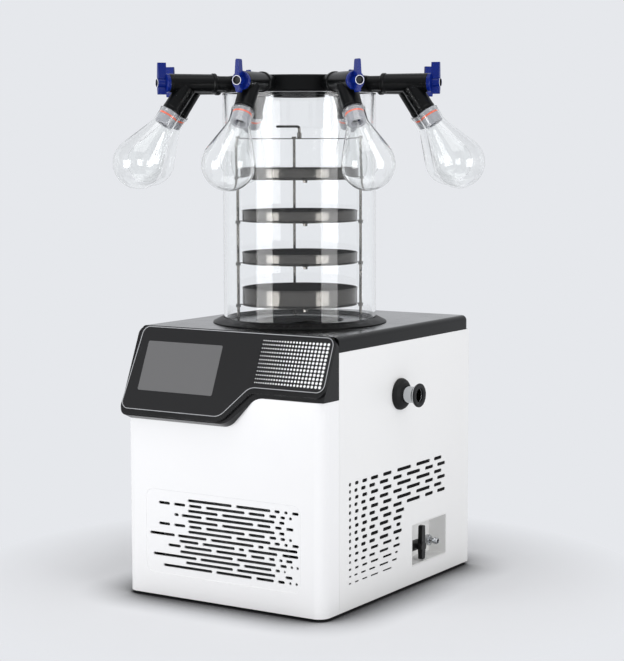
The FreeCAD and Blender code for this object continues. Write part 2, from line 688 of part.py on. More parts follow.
def side_panel(name, side):
    """Sheet-steel side with an L-shaped field of slots that grow longer rearwards."""
    body = new_body(name)
    inside = PANEL_INSIDE if side > 0 else "-" + SIDE
    front = "(%s + seam_gap)" % SEAM
    sketch = new_sketch(body, "YZ", inside)
    rectangle(sketch, front, BACK, "foot_height", BODY_TOP)
    pad(body, sketch, "panel_sheet")
    flange_back = "(%s - panel_sheet - seam_gap)" % BACK
    sketch = new_sketch(body, "XY", "foot_height")
    edge, lip = PANEL_INSIDE, "(%s - 12)" % PANEL_INSIDE
    left, right = (lip, edge) if side > 0 else ("-" + edge, "-" + lip)
    rectangle(sketch, left, right, "%s - panel_sheet" % flange_back, flange_back)
    pad(body, sketch, "body_height")
    sketch = new_sketch(body, "YZ", "%s - press_depth" % SIDE if side > 0 else "-" + SIDE)
    outline(sketch, rounded([("vent_first + %g" % y, "vent_row_top + %g" % z, str(radius))
                             for y, z, radius in PRESSED_FIELD]))
    cut(body, sketch, "press_depth")
    for first, count, part, slots in VENT_ROWS:
        sketch = new_sketch(body, "YZ", inside)
        middle = "(vent_row_top - %d * vent_pitch)" % first
        half = "%g * vent_height" % (part / 2)
        for start, end in slots:
            rectangle(sketch, "vent_first + %g" % start, "vent_first + %g" % end,
                      "%s - %s" % (middle, half), "%s + %s" % (middle, half))
        row = cut(body, sketch, "panel_sheet")
        if count > 1:
            repeat_linear(body, [row], "Z", "%d * vent_pitch" % (2 * (count - 1)), count, back=True)
    return body


def side_panel_right():
    body = side_panel("side_panel_right", 1)
    sketch = new_sketch(body, "YZ", PANEL_INSIDE)
    rectangle(sketch, "niche_front", "niche_front + niche_length",
              "niche_low", "niche_low + niche_height")
    cut(body, sketch, "panel_sheet")
    sketch = new_sketch(body, "YZ", PANEL_INSIDE)
    circle(sketch, "port_tube + 0.6", "port_y", "port_z")
    cut(body, sketch, "panel_sheet")


def vent_filters():
    """Black foam pads behind the slots of both side panels."""
    pads = []
    for side, sign in (("right", ""), ("left", "-")):
        body = doc.addObject("PartDesign::Body", "filter_" + side)
        near = "(%s - filter_gap)" % PANEL_INSIDE
        start = "(%s - filter_thick)" % near if side == "right" else "-" + near
        sketch = new_sketch(body, "YZ", start)
        outline(sketch, [("vent_first - 5", FILTER_LOW), ("vent_first + 187", FILTER_LOW),
                         ("vent_first + 187", FILTER_STEP), ("vent_first + 332", FILTER_STEP),
                         ("vent_first + 332", FILTER_HIGH), ("vent_first - 5", FILTER_HIGH)])
        pad(body, sketch, "filter_thick")
        pads.append(body)
    group("vent_filters", pads)


def rear_panel():
    """Flat rear sheet with an air outlet and the hole for the power inlet."""
    body = new_body("rear_panel")
    half = "(%s - seam_gap)" % PANEL_INSIDE
    sketch = new_sketch(body, "XZ", "%s - panel_sheet" % BACK)
    rectangle(sketch, "-" + half, half, "foot_height", BODY_TOP)
    pad(body, sketch, "panel_sheet")
    sketch = new_sketch(body, "XZ", "%s - panel_sheet" % BACK)
    rectangle(sketch, "inlet_x - inlet_width / 2 - 0.3", "inlet_x + inlet_width / 2 + 0.3",
              "inlet_z - inlet_height / 2 - 3.3", "rocker_z + rocker_height / 2 + 4.3")
    cut(body, sketch, "panel_sheet")
    sketch = new_sketch(body, "XZ", "%s - panel_sheet" % BACK)
    for left in ("outlet_left", "(outlet_left + outlet_step)"):
        rectangle(sketch, left, left + " + outlet_length", "outlet_low", "outlet_low + outlet_height")
    row = cut(body, sketch, "panel_sheet")
    repeat_linear(body, [row], "Z", "(outlet_rows - 1) * outlet_pitch", whole("outlet_rows"))


def top_cover():
    """Dark moulded cover with rolled edges and an opening for the cold trap."""
    body = new_body("top_cover")
    front = "(%s + seam_gap)" % SEAM
    sketch = new_sketch(body, "XY", BODY_TOP)
    outline(sketch, rounded([("-" + SIDE, front), (SIDE, front), (SIDE, BACK, "12"),
                             ("-" + SIDE, BACK, "12")]))
    pad(body, sketch, "cover_height")
    top = dim(COVER_TOP)
    seam = dim(front)

    def rolled(start, end, edge):
        level = abs(start.z - top) < 1e-4 and abs(end.z - top) < 1e-4
        return level and (start.y > seam + 1 or end.y > seam + 1)
    soften(body, edges_where(body.Shape, rolled), "cover_roll")
    sketch = new_sketch(body, "XY", BODY_TOP)
    rectangle(sketch, "-(%s - cover_wall)" % SIDE, "%s - cover_wall" % SIDE, "%s - 1" % front,
              "%s - 6" % BACK)
    cut(body, sketch, "cover_height - cover_roll - cover_wall")
    sketch = new_sketch(body, "XY", BODY_TOP)
    rectangle(sketch, "-(%s - cover_roll)" % SIDE, "%s - cover_roll" % SIDE, "%s - 1" % front,
              "%s - cover_roll - 4" % BACK)
    cut(body, sketch, "cover_height - cover_wall")
    sketch = new_sketch(body, "XY", BODY_TOP)
    circle(sketch, "trap_radius + trap_wall + trap_rim + 1.5")
    cut(body, sketch, "cover_height")


# ----------------------------------------------------------- control housing
def fascia_corners(side="0", low="0"):
    """Outline of the fascia, grown at its sides and top, and below."""
    left = "(fascia_left - (%s))" % side
    lean = "(fascia_left + fascia_flare - (%s))" % side
    right = "(fascia_right + (%s))" % side
    bottom = "(fascia_low - (%s))" % low
    step = "(fascia_step - (%s))" % low
    top = "(fascia_high + (%s))" % side
    shift = "((%s) * 0.46)" % low
    radius = "(fascia_radius + (%s))" % side
    return [(left, bottom, radius), ("sweep_low_x + " + shift, bottom, "sweep_radius + (%s)" % low),
            ("sweep_high_x + " + shift, step, "sweep_radius - (%s) / 2" % low),
            (right, step, radius), (right, top, radius), (lean, top, radius)]


def control_housing():
    """Black wedge under the screen: a rim that follows the fascia, and a hollow flank."""
    body = new_body("control_housing")
    sketch = slope_sketch(body, "rim_depth / 2")
    edge = "(%s)" % SIDE
    top = "(fascia_high + rim_side - 1)"
    outline(sketch, rounded([("-" + edge, "flank_low", "14"), ("flank_low_x", "flank_low", "flank_radius"),
                             ("flank_high_x", "flank_step", "flank_radius"), (edge, "flank_step"),
                             (edge, top, "14"), ("-" + edge, top, "14")]))
    pad(body, sketch, "90")
    seat = new_sketch(body, "YZ", "-%s - 20" % SIDE)
    rectangle(seat, SEAM, "%s + 200" % SEAM, "0", "%s + 100" % COVER_TOP)
    cut(body, seat, "cabinet_width + 40")
    for_step = new_sketch(body, "XZ", FRONT + " - 0.4")
    floor = "(%s - 120)" % FLANK_LOW_Z
    outside = "(%s + 10)" % SIDE
    outline(for_step, rounded([("-" + outside, FLANK_LOW_Z), ("-" + outside, floor), (outside, floor),
                               (outside, FLANK_STEP_Z), ("flank_high_x", FLANK_STEP_Z, "flank_radius"),
                               ("flank_low_x", FLANK_LOW_Z, "flank_radius")]))
    cut(body, for_step, "200")
    sketch = slope_sketch(body, "rim_edge")
    outline(sketch, rounded(fascia_corners("rim_side", "rim_low")))
    pad(body, sketch, "rim_depth - rim_edge")
    sketch = slope_sketch(body)
    outline(sketch, rounded(fascia_corners("rim_side - rim_edge", "rim_low - rim_edge")))
    pad(body, sketch, "rim_edge")
    wall = "housing_wall"
    sketch = slope_sketch(body, "fascia_recess + housing_wall")
    inner = "(%s - %s)" % (SIDE, wall)
    outline(sketch, rounded([("-%s + 6" % inner, "flank_low + %s" % wall, "10"),
                             ("flank_low_x - 3", "flank_low + %s" % wall, "flank_radius"),
                             ("flank_high_x - 3", "flank_step + %s" % wall, "flank_radius"),
                             (inner, "flank_step + %s" % wall), (inner, "%s - %s - 5" % (top, wall)),
                             ("-%s + 10" % inner, "%s - %s - 5" % (top, wall))]))
    cut(body, sketch, "90")
    sketch = slope_sketch(body)
    outline(sketch, rounded(fascia_corners("bead_width", "bead_width")))
    cut(body, sketch, "fascia_recess")
    sketch = slope_sketch(body)
    rectangle(sketch, "screen_left - 1", "screen_left + screen_width + 1", "screen_low - 1",
              "screen_low + screen_height + 1")
    cut(body, sketch, "fascia_recess + housing_wall + 1")


def fascia_bead():
    """Thin bright bead round the fascia."""
    body = new_body("fascia_bead")
    sketch = slope_sketch(body, "-bead_proud")
    outline(sketch, rounded(fascia_corners("bead_width - 0.05", "bead_width - 0.05")))
    pad(body, sketch, "bead_proud + fascia_recess")
    sketch = slope_sketch(body, "-bead_proud")
    outline(sketch, rounded(fascia_corners("0.05", "0.05")))
    cut(body, sketch, "bead_proud + fascia_recess")


def fascia_panel():
    """Smoked fascia sheet inside the bead, with a window for the screen."""
    body = new_body("fascia_panel")
    sketch = slope_sketch(body, "fascia_recess - fascia_sheet")
    outline(sketch, rounded(fascia_corners("-0.05", "-0.05")))
    pad(body, sketch, "fascia_sheet")
    sketch = slope_sketch(body, "fascia_recess - fascia_sheet")
    screen_outline(sketch, "0.1")
    cut(body, sketch, "fascia_sheet")


def screen_outline(sketch, grow):
    left = "(screen_left - (%s))" % grow
    right = "(screen_left + screen_width + (%s))" % grow
    low = "(screen_low - (%s))" % grow
    high = "(screen_low + screen_height + (%s))" % grow
    outline(sketch, rounded([(left, low, "screen_radius"), (right, low, "screen_radius"),
                             (right, high, "screen_radius"), (left, high, "screen_radius")]))


def touch_screen():
    """Display module with its cover glass in the fascia's window."""
    body = new_body("touch_screen")
    sketch = slope_sketch(body, "0.1")
    screen_outline(sketch, "0")
    pad(body, sketch, "fascia_recess + housing_wall + module_depth")
    sketch = slope_sketch(body, "fascia_recess + housing_wall + 0.1")
    rectangle(sketch, "screen_left - 4", "screen_left + screen_width + 4", "screen_low - 3",
              "screen_low + screen_height + 3")
    pad(body, sketch, "module_depth")


# --------------------------------------------------------------- drain niche
NICHE_BACK = "(%s - niche_depth)" % SIDE
VALVE_X = "(%s - drain_body_inset)" % SIDE


def sweep(body, profile, path):
    """Carry a profile along a path sketch."""
    feature = body.newObject("PartDesign::AdditivePipe", body.Name + "_sweep")
    feature.Profile = profile
    feature.Spine = (path, ["Edge%d" % (n + 1) for n in range(len(path.Geometry))])
    doc.recompute()
    return feature


def drain_niche():
    """Open box let into the side panel round the drain fittings."""
    body = new_body("drain_niche")
    sketch = new_sketch(body, "YZ", "%s - niche_wall" % NICHE_BACK)
    rectangle(sketch, "niche_front + 0.2", "niche_front + niche_length - 0.2",
              "niche_low + 0.2", "niche_low + niche_height - 0.2")
    pad(body, sketch, "niche_depth + niche_wall")
    sketch = new_sketch(body, "YZ", NICHE_BACK)
    rectangle(sketch, "niche_front + niche_wall", "niche_front + niche_length - niche_wall",
              "niche_low + niche_wall", "niche_low + niche_height - niche_wall")
    cut(body, sketch, "niche_depth")
    sketch = new_sketch(body, "XZ", "niche_front")
    circle(sketch, "drain_body_radius + 0.1", VALVE_X, "drain_z")
    cut(body, sketch, "niche_wall + 1")
    for y, radius in (("drain_y", "hose_radius"), ("nozzle_y", "nozzle_radius")):
        sketch = new_sketch(body, "YZ", "%s - niche_wall" % NICHE_BACK)
        circle(sketch, radius + " + 0.1", y, "drain_z")
        cut(body, sketch, "niche_wall")


def drain_valve_body():
    """Drain valve: a barrel through the niche's wall with a port behind the lever."""
    body = new_body("drain_valve_body")
    start, end = "(niche_front - 28)", "(drain_y + drain_body_radius + 3)"
    sketch = new_sketch(body, "XZ", start)
    circle(sketch, "drain_body_radius", VALVE_X, "drain_z")
    pad(body, sketch, "%s - %s" % (end, start))
    sketch = new_sketch(body, "YZ", "%s - 12" % NICHE_BACK)
    circle(sketch, "hose_radius", "drain_y", "drain_z")
    pad(body, sketch, "12 + %s - %s" % (VALVE_X, NICHE_BACK))
    sketch = new_sketch(body, "YZ", "%s - drain_body_radius - 8" % VALVE_X)
    circle(sketch, "hose_radius", "hose_y", "drain_z")
    pad(body, sketch, "drain_body_radius + 8")
    sketch = new_sketch(body, "YZ", VALVE_X)
    circle(sketch, "6.5", "drain_y", "drain_z")
    pad(body, sketch, "drain_body_radius + 1")
    sketch = new_sketch(body, "YZ", VALVE_X)
    circle(sketch, "3.3", "drain_y", "drain_z")
    cut(body, sketch, "drain_body_radius + 1")


def drain_lever():
    """Black lever on the drain valve's spindle."""
    body = new_body("drain_lever")
    start = "(%s + drain_body_radius + 1.4)" % VALVE_X
    for axis, expression in zip("xyz", (start, "drain_y", "drain_z")):
        body.setExpression("Placement.Base." + axis, bound(expression))
    sketch = new_sketch(body, "YZ", "0")
    half, tip = "(lever_width / 2)", "(lever_width / 2 - 1.4)"
    outline(sketch, rounded([("-" + half, "-6"), ("-" + tip, "-lever_down", "3"),
                             (tip, "-lever_down", "3"), (half, "-6"), (half, "6"),
                             (tip, "lever_up", "3"), ("-" + tip, "lever_up", "3"),
                             ("-" + half, "6")]))
    pad(body, sketch, "lever_sheet")
    sketch = new_sketch(body, "YZ", "0")
    circle(sketch, "8.5")
    pad(body, sketch, "lever_sheet + 0.6")
    sketch = new_sketch(body, "YZ", "-drain_body_radius")
    circle(sketch, "3")
    pad(body, sketch, "drain_body_radius + 1")


def hexagon(sketch, flats, x, y):
    """A regular hexagon with its corners to the left and right."""
    across = "(%s / sqrt(3))" % flats
    corners = []
    for step in range(6):
        turn = 60 * step
        corners.append(("(%s) + %s * cos(%d)" % (x, across, turn),
                        "(%s) + %s * sin(%d)" % (y, across, turn)))
    outline(sketch, corners)


def drain_nozzle():
    """Chrome hose nozzle with its nut."""
    body = new_body("drain_nozzle")
    sketch = new_sketch(body, "YZ", "%s - 12" % NICHE_BACK)
    circle(sketch, "nozzle_radius", "nozzle_y", "drain_z")
    pad(body, sketch, "12 + nozzle_length")
    for offset, length, flats in (("0", "5", "nut_flats + 2"), ("10", "8", "nut_flats")):
        sketch = new_sketch(body, "YZ", "%s + %s" % (NICHE_BACK, offset))
        hexagon(sketch, "(%s)" % flats, "nozzle_y", "drain_z")
        pad(body, sketch, length)
    sketch = new_sketch(body, "YZ", "%s - 12" % NICHE_BACK)
    circle(sketch, "nozzle_bore", "nozzle_y", "drain_z")
    cut(body, sketch, "12 + nozzle_length")
    sketch = new_sketch(body, "YZ", "%s + nozzle_length - 3" % NICHE_BACK)
    circle(sketch, "nozzle_radius + 0.9", "nozzle_y", "drain_z")
    circle(sketch, "nozzle_bore", "nozzle_y", "drain_z")
    pad(body, sketch, "2")


def drain_hose():
    """Hose from the trap's drain to the valve, and the short one on to the nozzle."""
    top = "(%s - trap_depth - cover_wall)" % COVER_TOP
    end = "(%s - drain_body_radius - 8)" % VALVE_X
    first = doc.addObject("PartDesign::Body", "trap_hose")
    path = new_sketch(first, "XZ", "hose_y")
    low = "(drain_z + hose_bend)"
    sketch_points = [("0", top), ("0", low), ("hose_bend", "drain_z"), (end, "drain_z")]
    open_path(path, sketch_points, "hose_bend", 1, -1)
    profile = new_sketch(first, "XY", top)
    circle(profile, "hose_radius", "0", "hose_y")
    circle(profile, "hose_bore", "0", "hose_y")
    doc.recompute()
    sweep(first, profile, path)
    second = doc.addObject("PartDesign::Body", "link_hose")
    sketch = new_sketch(second, "XY", "drain_z - hose_radius")
    near, bend = "(%s - 12)" % NICHE_BACK, "(%s - 42)" % NICHE_BACK
    outer = [(near, "drain_y - hose_radius"), (bend, "drain_y - hose_radius", "12"),
             (bend, "nozzle_y + hose_radius", "12"), (near, "nozzle_y + hose_radius"),
             (near, "nozzle_y - hose_radius"),
             ("%s + 2 * hose_radius" % bend, "nozzle_y - hose_radius", "3"),
             ("%s + 2 * hose_radius" % bend, "drain_y + hose_radius", "3"),
             (near, "drain_y + hose_radius")]
    outline(sketch, rounded(outer))
    pad(second, sketch, "2 * hose_radius")
    group("drain_hose", [first, second])


def open_path(sketch, points, radius, arc_index, side):
    """Lines and one arc through the points, left open."""
    places = [Vector(dim(x), dim(y), 0) for x, y in points]
    for index in range(len(points) - 1):
        start, end = places[index], places[index + 1]
        if index != arc_index:
            sketch.addGeometry(Part.LineSegment(start, end))
            continue
        chord = end - start
        half = chord.Length / 2
        bend = dim(radius)
        left = Vector(-chord.y, chord.x, 0).normalize()
        middle = (start + end) / 2 + left * (bend - math.sqrt(bend ** 2 - half ** 2)) * side
        sketch.addGeometry(Part.Arc(start, middle, end))
    ends = []
    for index in range(len(points) - 1):
        forward = sketch.Geometry[index].StartPoint.distanceToPoint(places[index]) < 1e-6
        ends.append((1, 2) if forward else (2, 1))
    for index in range(len(points) - 1):
        pin_point(sketch, index, ends[index][0], *points[index])
        if index + 1 < len(points) - 1:
            join = (index, ends[index][1], index + 1, ends[index + 1][0])
            sketch.addConstraint(Sketcher.Constraint("Coincident", *join))
        else:
            pin_point(sketch, index, ends[index][1], *points[index + 1])
        if index == arc_index:
            number = sketch.addConstraint(Sketcher.Constraint("Radius", index, dim(radius)))
            sketch.setExpression("Constraints[%d]" % number, bound(radius))


# --------------------------------------------------------------- vacuum port
def port_ring(body, points):
    """Turn an outline of (distance along +X, radius) corners about the port's axis."""
    sketch = new_sketch(body, "XZ", "port_y", origin=("0", "port_z"))
    outline(sketch, rounded(points))
    return revolve(body, sketch, "H_Axis")


def vacuum_port_tube():
    """Steel tube from the trap to the small flange outside."""
    body = new_body("vacuum_port_tube")
    end = "(%s + port_reach - 5)" % SIDE
    port_ring(body, [("trap_radius - 0.5", "port_bore"),
                     ("trap_radius - 0.5", "port_tube"), (end + " - 6", "port_tube"),
                     (end + " - 2", "port_flange - 2"), (end, "port_flange - 2"), (end, "port_bore")])


def vacuum_port_ring():
    """Black centring ring on the port's flange."""
    body = new_body("vacuum_port_ring")
    start, end = "(%s + port_reach - 5)" % SIDE, "(%s + port_reach)" % SIDE
    port_ring(body, [(start, "port_bore"), (start, "port_flange", "2"), (end, "port_flange", "2"),
                     (end, "port_bore + 2.5"), (end + " - 1.5", "port_bore")])


def vacuum_port_boot():
    """Rubber collar where the port passes the side panel."""
    body = new_body("vacuum_port_boot")
    end = "(%s + boot_length)" % SIDE
    port_ring(body, [(SIDE, "port_tube"), (SIDE, "boot_radius - 1.5"), (SIDE + " + 1.5", "boot_radius"),
                     (end + " - 6", "boot_radius", "3"), (end, "boot_radius - 6", "3"),
                     (end, "port_tube + 3"), (end + " - 2", "port_tube")])


# ----------------------------------------------------------------- cold trap
TRAP_FLOOR = "(%s - trap_depth)" % COVER_TOP


def turned(body, points):
    """Turn an outline of (radius, height) corners about the chamber's axis."""
    sketch = new_sketch(body, "XZ")
    outline(sketch, rounded(points))
    return revolve(body, sketch)


def port_hole(body, radius):
    sketch = new_sketch(body, "YZ", "10")
    circle(sketch, radius, "port_y", "port_z")
    cut(body, sketch, "foam_radius")


def hose_hole(body, radius):
    sketch = new_sketch(body, "XY", "%s - foam_floor - 10" % TRAP_FLOOR)
    circle(sketch, radius, "0", "hose_y")
    cut(body, sketch, "foam_floor + 15")


def cold_trap_bucket():
    """Stainless cold trap with a flat rim."""
    body = new_body("cold_trap_bucket")
    outer = "(trap_radius + trap_wall)"
    rim = "(%s + trap_rim)" % outer
    under = "(%s - cover_wall)" % COVER_TOP
    turned(body, [("0", TRAP_FLOOR + " - trap_wall"), (outer, TRAP_FLOOR + " - trap_wall", "8"),
                  (outer, under), (rim, under), (rim, COVER_TOP), ("trap_radius", COVER_TOP),
                  ("trap_radius", TRAP_FLOOR, "6.5"), ("0", TRAP_FLOOR)])
    port_hole(body, "port_tube")
    hose_hole(body, "hose_bore")


def evaporator_jacket():
    """Copper jacket that cools the trap."""
    body = new_body("evaporator_jacket")
    inner = "(trap_radius + trap_wall)"
    low, high = "(%s + 12)" % TRAP_FLOOR, "(%s - 20)" % COVER_TOP
    turned(body, [(inner, low), (inner + " + jacket_wall", low), (inner + " + jacket_wall", high),
                  (inner, high)])
    port_hole(body, "port_tube")


def trap_insulation():
    """Foam round and under the cold trap."""
    body = new_body("trap_insulation")
    inner = "(trap_radius + trap_wall)"
    low, high = "(%s + 12)" % TRAP_FLOOR, "(%s - 20)" % COVER_TOP
    floor = "(%s - trap_wall)" % TRAP_FLOOR
    bottom = "(%s - foam_floor)" % floor
    top = "(%s - cover_wall)" % COVER_TOP
    turned(body, [("0", bottom), ("foam_radius", bottom, "6"), ("foam_radius", top), (inner, top),
                  (inner, high), (inner + " + jacket_wall", high), (inner + " + jacket_wall", low),
                  (inner, low), (inner, floor), ("0", floor)])
    port_hole(body, "port_tube")
    hose_hole(body, "hose_radius")


# ------------------------------------------------------------------- chamber
def chamber_flange():
    """Bevelled black ring that seats the chamber."""
    body = new_body("chamber_flange")
    bore = "(deck_radius + 0.3)"
    lip = "(tube_radius + 0.6)"
    seat = "(%s + flange_seat)" % COVER_TOP
    top = "(%s + flange_height)" % COVER_TOP
    turned(body, [(bore, COVER_TOP), ("flange_radius", COVER_TOP), ("flange_radius", COVER_TOP + " + 1.5"),
                  ("flange_top_radius", top), (lip, top), (lip, seat), (bore, seat)])


def trap_deck():
    """Glossy disc round the trap's mouth."""
    body = new_body("trap_deck")
    mouth = "(trap_radius + 0.5)"
    turned(body, [(mouth, COVER_TOP), ("deck_radius", COVER_TOP), ("deck_radius", DECK_TOP, "1"),
                  (mouth, DECK_TOP, "1.5")])


def chamber_cylinder():
    """Clear acrylic cylinder."""
    body = new_body("chamber_cylinder")
    top = "(%s + tube_length)" % TUBE_LOW
    inner = "(tube_radius - tube_wall)"
    turned(body, [(inner, TUBE_LOW), ("tube_radius", TUBE_LOW), ("tube_radius", top), (inner, top)])


def chamber_seals():
    """Two flat rubber seals under and over the cylinder."""
    rings = []
    for name, low in (("lower_seal", "%s - seal_height" % TUBE_LOW),
                      ("upper_seal", "%s + tube_length" % TUBE_LOW)):
        body = doc.addObject("PartDesign::Body", name)
        high = "(%s + seal_height)" % low
        inner = "(tube_radius - tube_wall)"
        outer = "(hub_radius - 0.5)" if name == "upper_seal" else "tube_radius"
        turned(body, [(inner, low), (outer, low), (outer, high), (inner, high)])
        rings.append(body)
    group("chamber_seals", rings)


# ------------------------------------------------------------------ manifold
def manifold_hub():
    """Hollow hub with a stepped inlet below and a nipple for each valve."""
    body = new_body("manifold_hub")
    place_round(body, "first_port + 270")
    top = "(%s + hub_height)" % HUB_LOW
    bottom = "(%s - plug_depth)" % HUB_LOW
    ledge = "(%s - plug_depth / 2)" % HUB_LOW
    turned(body, [("0", bottom), ("plug_radius", bottom, "1.5"), ("plug_radius", ledge),
                  ("plug_step_radius", ledge), ("plug_step_radius", HUB_LOW), ("hub_radius", HUB_LOW, "2"),
                  ("hub_radius", top, "3"), ("0", top)])
    sketch = new_sketch(body, "YZ", "hub_radius - 6")
    circle(sketch, "nipple_radius", "0", PORT_Z)
    nipple = pad(body, sketch, "nipple_reach - hub_radius + 6")
    repeat_round(body, [nipple], "Z", whole("port_count"))
    sketch = new_sketch(body, "XZ")
    inside = "(hub_radius - 6)"
    floor, roof = "(%s + hub_floor)" % HUB_LOW, "(%s - hub_roof)" % top
    outline(sketch, [("0", bottom + " - 1"), ("plug_bore", bottom + " - 1"), ("plug_bore", floor),
                     (inside, floor), (inside, roof), ("0", roof)])
    groove(body, sketch)
    sketch = new_sketch(body, "YZ", "hub_radius - 10")
    circle(sketch, "nipple_bore", "0", PORT_Z)
    bore = cut(body, sketch, "nipple_reach - hub_radius + 10")
    repeat_round(body, [bore], "Z", whole("port_count"))


def place_round(body, turn):
    """Turn a body about the chamber's axis."""
    body.Placement = Placement(Vector(), Rotation(Vector(0, 0, 1), dim(turn)))
    body.setExpression("Placement.Rotation.Angle", bound(turn))


def radial_sketch(body):
    """A sketch in the plane of a port: x runs outwards, y upwards from the port's axis."""
    return new_sketch(body, "XZ", origin=("0", PORT_Z))


def branch_sketch(body):
    """A sketch whose y runs down a valve's branch."""
    return new_sketch(body, "XZ", origin=("branch_start", PORT_Z), turn="180 + branch_angle")


PORTS = range(whole("port_count"))


def port_turn(number):
    return "(first_port + 270 + %d * 360 / port_count)" % number


def valve_bodies():
    """Rubber valves on the hub's nipples, each with a branch for a flask."""
    bodies = []
    for number in PORTS:
        body = doc.addObject("PartDesign::Body", "valve_body_%d" % (number + 1))
        place_round(body, port_turn(number))
        sketch = radial_sketch(body)
        lip_end = "(barrel_start + 6)"
        outline(sketch, [("barrel_start", "0"), ("barrel_start", "barrel_lip - 1.2"),
                         ("barrel_start + 1.2", "barrel_lip"), (lip_end, "barrel_lip"),
                         (lip_end + " + 1.4", "barrel_radius"), ("barrel_end", "barrel_radius"),
                         ("barrel_end", "0")])
        revolve(body, sketch, "H_Axis")
        sketch = branch_sketch(body)
        end = "(branch_radius - branch_taper)"
        outline(sketch, [("0", "8"), ("branch_radius", "8"), (end, "branch_length"),
                         ("stub_radius", "branch_length"),
                         ("stub_radius", "branch_length + stub_length"),
                         ("0", "branch_length + stub_length")])
        revolve(body, sketch)
        sketch = radial_sketch(body)
        socket = "(nipple_radius + barrel_fit)"
        plug = "(spigot_radius + spigot_play)"
        outline(sketch, [("barrel_start - 1", "0"), ("barrel_start - 1", socket),
                         ("nipple_reach + 2", socket), ("nipple_reach + 2", "valve_bore"),
                         ("spigot_start - 1", "valve_bore"), ("spigot_start - 1", plug),
                         ("barrel_end + 1", plug), ("barrel_end + 1", "0")])
        groove(body, sketch, "H_Axis")
        sketch = branch_sketch(body)
        outline(sketch, [("0", "0"), ("valve_bore", "0"), ("valve_bore", "branch_length + stub_length + 1"),
                         ("0", "branch_length + stub_length + 1")])
        groove(body, sketch)
        bodies.append(body)
    group("valve_bodies", bodies)


def valve_handles():
    """Blue stopcock plugs with a long and a short paddle."""
    for number in PORTS:
        body = new_body("valve_handle_%d" % (number + 1))
        disc = "(barrel_end + 0.5)"
        face = "(%s + knob_sheet)" % disc
        sketch = radial_sketch(body)
        outline(sketch, [("spigot_start", "0"), ("spigot_start", "spigot_radius"),
                         (disc, "spigot_radius"), (disc, "knob_radius"),
                         (face + " - 1", "knob_radius"), (face, "knob_radius - 1"),
                         (face, "boss_radius"), ("boss_reach", "boss_radius"),
                         ("boss_reach", "boss_bore"), (face + " + 3", "boss_bore"),
                         (face + " + 3", "0")])
        revolve(body, sketch, "H_Axis")
        half, tip = "(paddle_sheet / 2)", "(paddle_sheet / 2 - 1.5)"
        root = "(boss_radius / 2 + boss_bore / 2)"
        for reach in ("paddle_reach", "paddle_short"):
            sign = "" if reach == "paddle_reach" else "-"
            sketch = new_sketch(body, "YZ", face + " - 1", origin=("0", PORT_Z))
            outline(sketch, [("-" + half, sign + root), (half, sign + root),
                             (tip, sign + "(%s - 2)" % reach), (tip + " - 1", sign + reach),
                             ("-(%s - 1)" % tip, sign + reach), ("-" + tip, sign + "(%s - 2)" % reach)])
            pad(body, sketch, "paddle_depth - 1")
        sketch = new_sketch(body, "XY", PORT_Z, origin=("branch_start", "0"))
        circle(sketch, "valve_bore")
        downward = body.newObject("PartDesign::Pocket", body.Name + "_way")
        downward.Profile = sketch
        downward.Length = 40
        doc.recompute()
        sketch = new_sketch(body, "YZ", "spigot_start - 1", origin=("0", PORT_Z))
        circle(sketch, "valve_bore - 0.5")
        cut(body, sketch, "branch_start - spigot_start + 3")
        place_round(body, port_turn(number))


# -------------------------------------------------------------------- flasks
def tangent_turn(radius, neck, level):
    """Angle between the bulb's top and where a line from the neck's foot touches it."""
    rise = "(bulb_centre - (%s))" % level
    return "(atan(%s / %s) + acos(%s / hypot(%s; %s)))" % (neck, rise, radius, neck, rise)


def flasks():
    """Pear-shaped glass flasks on the valves' branches."""
    foot = "(branch_length + neck_length)"
    inner_neck = "(neck_radius - glass_wall)"
    inner_bulb = "(bulb_radius - glass_wall)"
    outer_turn = tangent_turn("bulb_radius", "neck_radius", foot)
    inner_turn = tangent_turn(inner_bulb, inner_neck, foot)
    start = "(branch_length + 0.4)"
    for number in PORTS:
        body = new_body("flask_%d" % (number + 1))
        place_round(body, port_turn(number))
        sketch = branch_sketch(body)
        outline(sketch, [
            ("0", start), ("neck_lip", start), ("neck_lip", start + " + 3"),
            ("neck_radius", start + " + 4.5"), ("neck_radius", foot),
            ("bulb_radius * sin(%s)" % outer_turn, "bulb_centre - bulb_radius * cos(%s)" % outer_turn,
             "bulb_radius", -1),
            ("0", "bulb_centre + bulb_radius")])
        revolve(body, sketch)
        sketch = branch_sketch(body)
        outline(sketch, [
            ("0", start + " - 1"), (inner_neck, start + " - 1"), (inner_neck, foot),
            ("%s * sin(%s)" % (inner_bulb, inner_turn),
             "bulb_centre - %s * cos(%s)" % (inner_bulb, inner_turn), inner_bulb, -1),
            ("0", "bulb_centre + " + inner_bulb)])
        groove(body, sketch)


def stoppers():
    """Silicone stoppers between the branches' stubs and the flasks' necks."""
    bodies = []
    start = "(branch_length + 0.4)"
    end = "(%s + stopper_length)" % start
    outside = "(neck_radius - glass_wall - stopper_fit)"
    groove_low = "(%s + ring_drop)" % start
    groove_high = "(%s + ring_section)" % groove_low
    seat = "(%s - 1.5)" % outside
    for number in PORTS:
        body = doc.addObject("PartDesign::Body", "stopper_%d" % (number + 1))
        place_round(body, port_turn(number))
        sketch = branch_sketch(body)
        outline(sketch, [("stub_radius", start), (outside, start), (outside, groove_low),
                         (seat, groove_low), (seat, groove_high), (outside, groove_high),
                         (outside + " - 0.6", end), ("stub_radius", end)])
        revolve(body, sketch)
        bodies.append(body)
    group("stoppers", bodies)


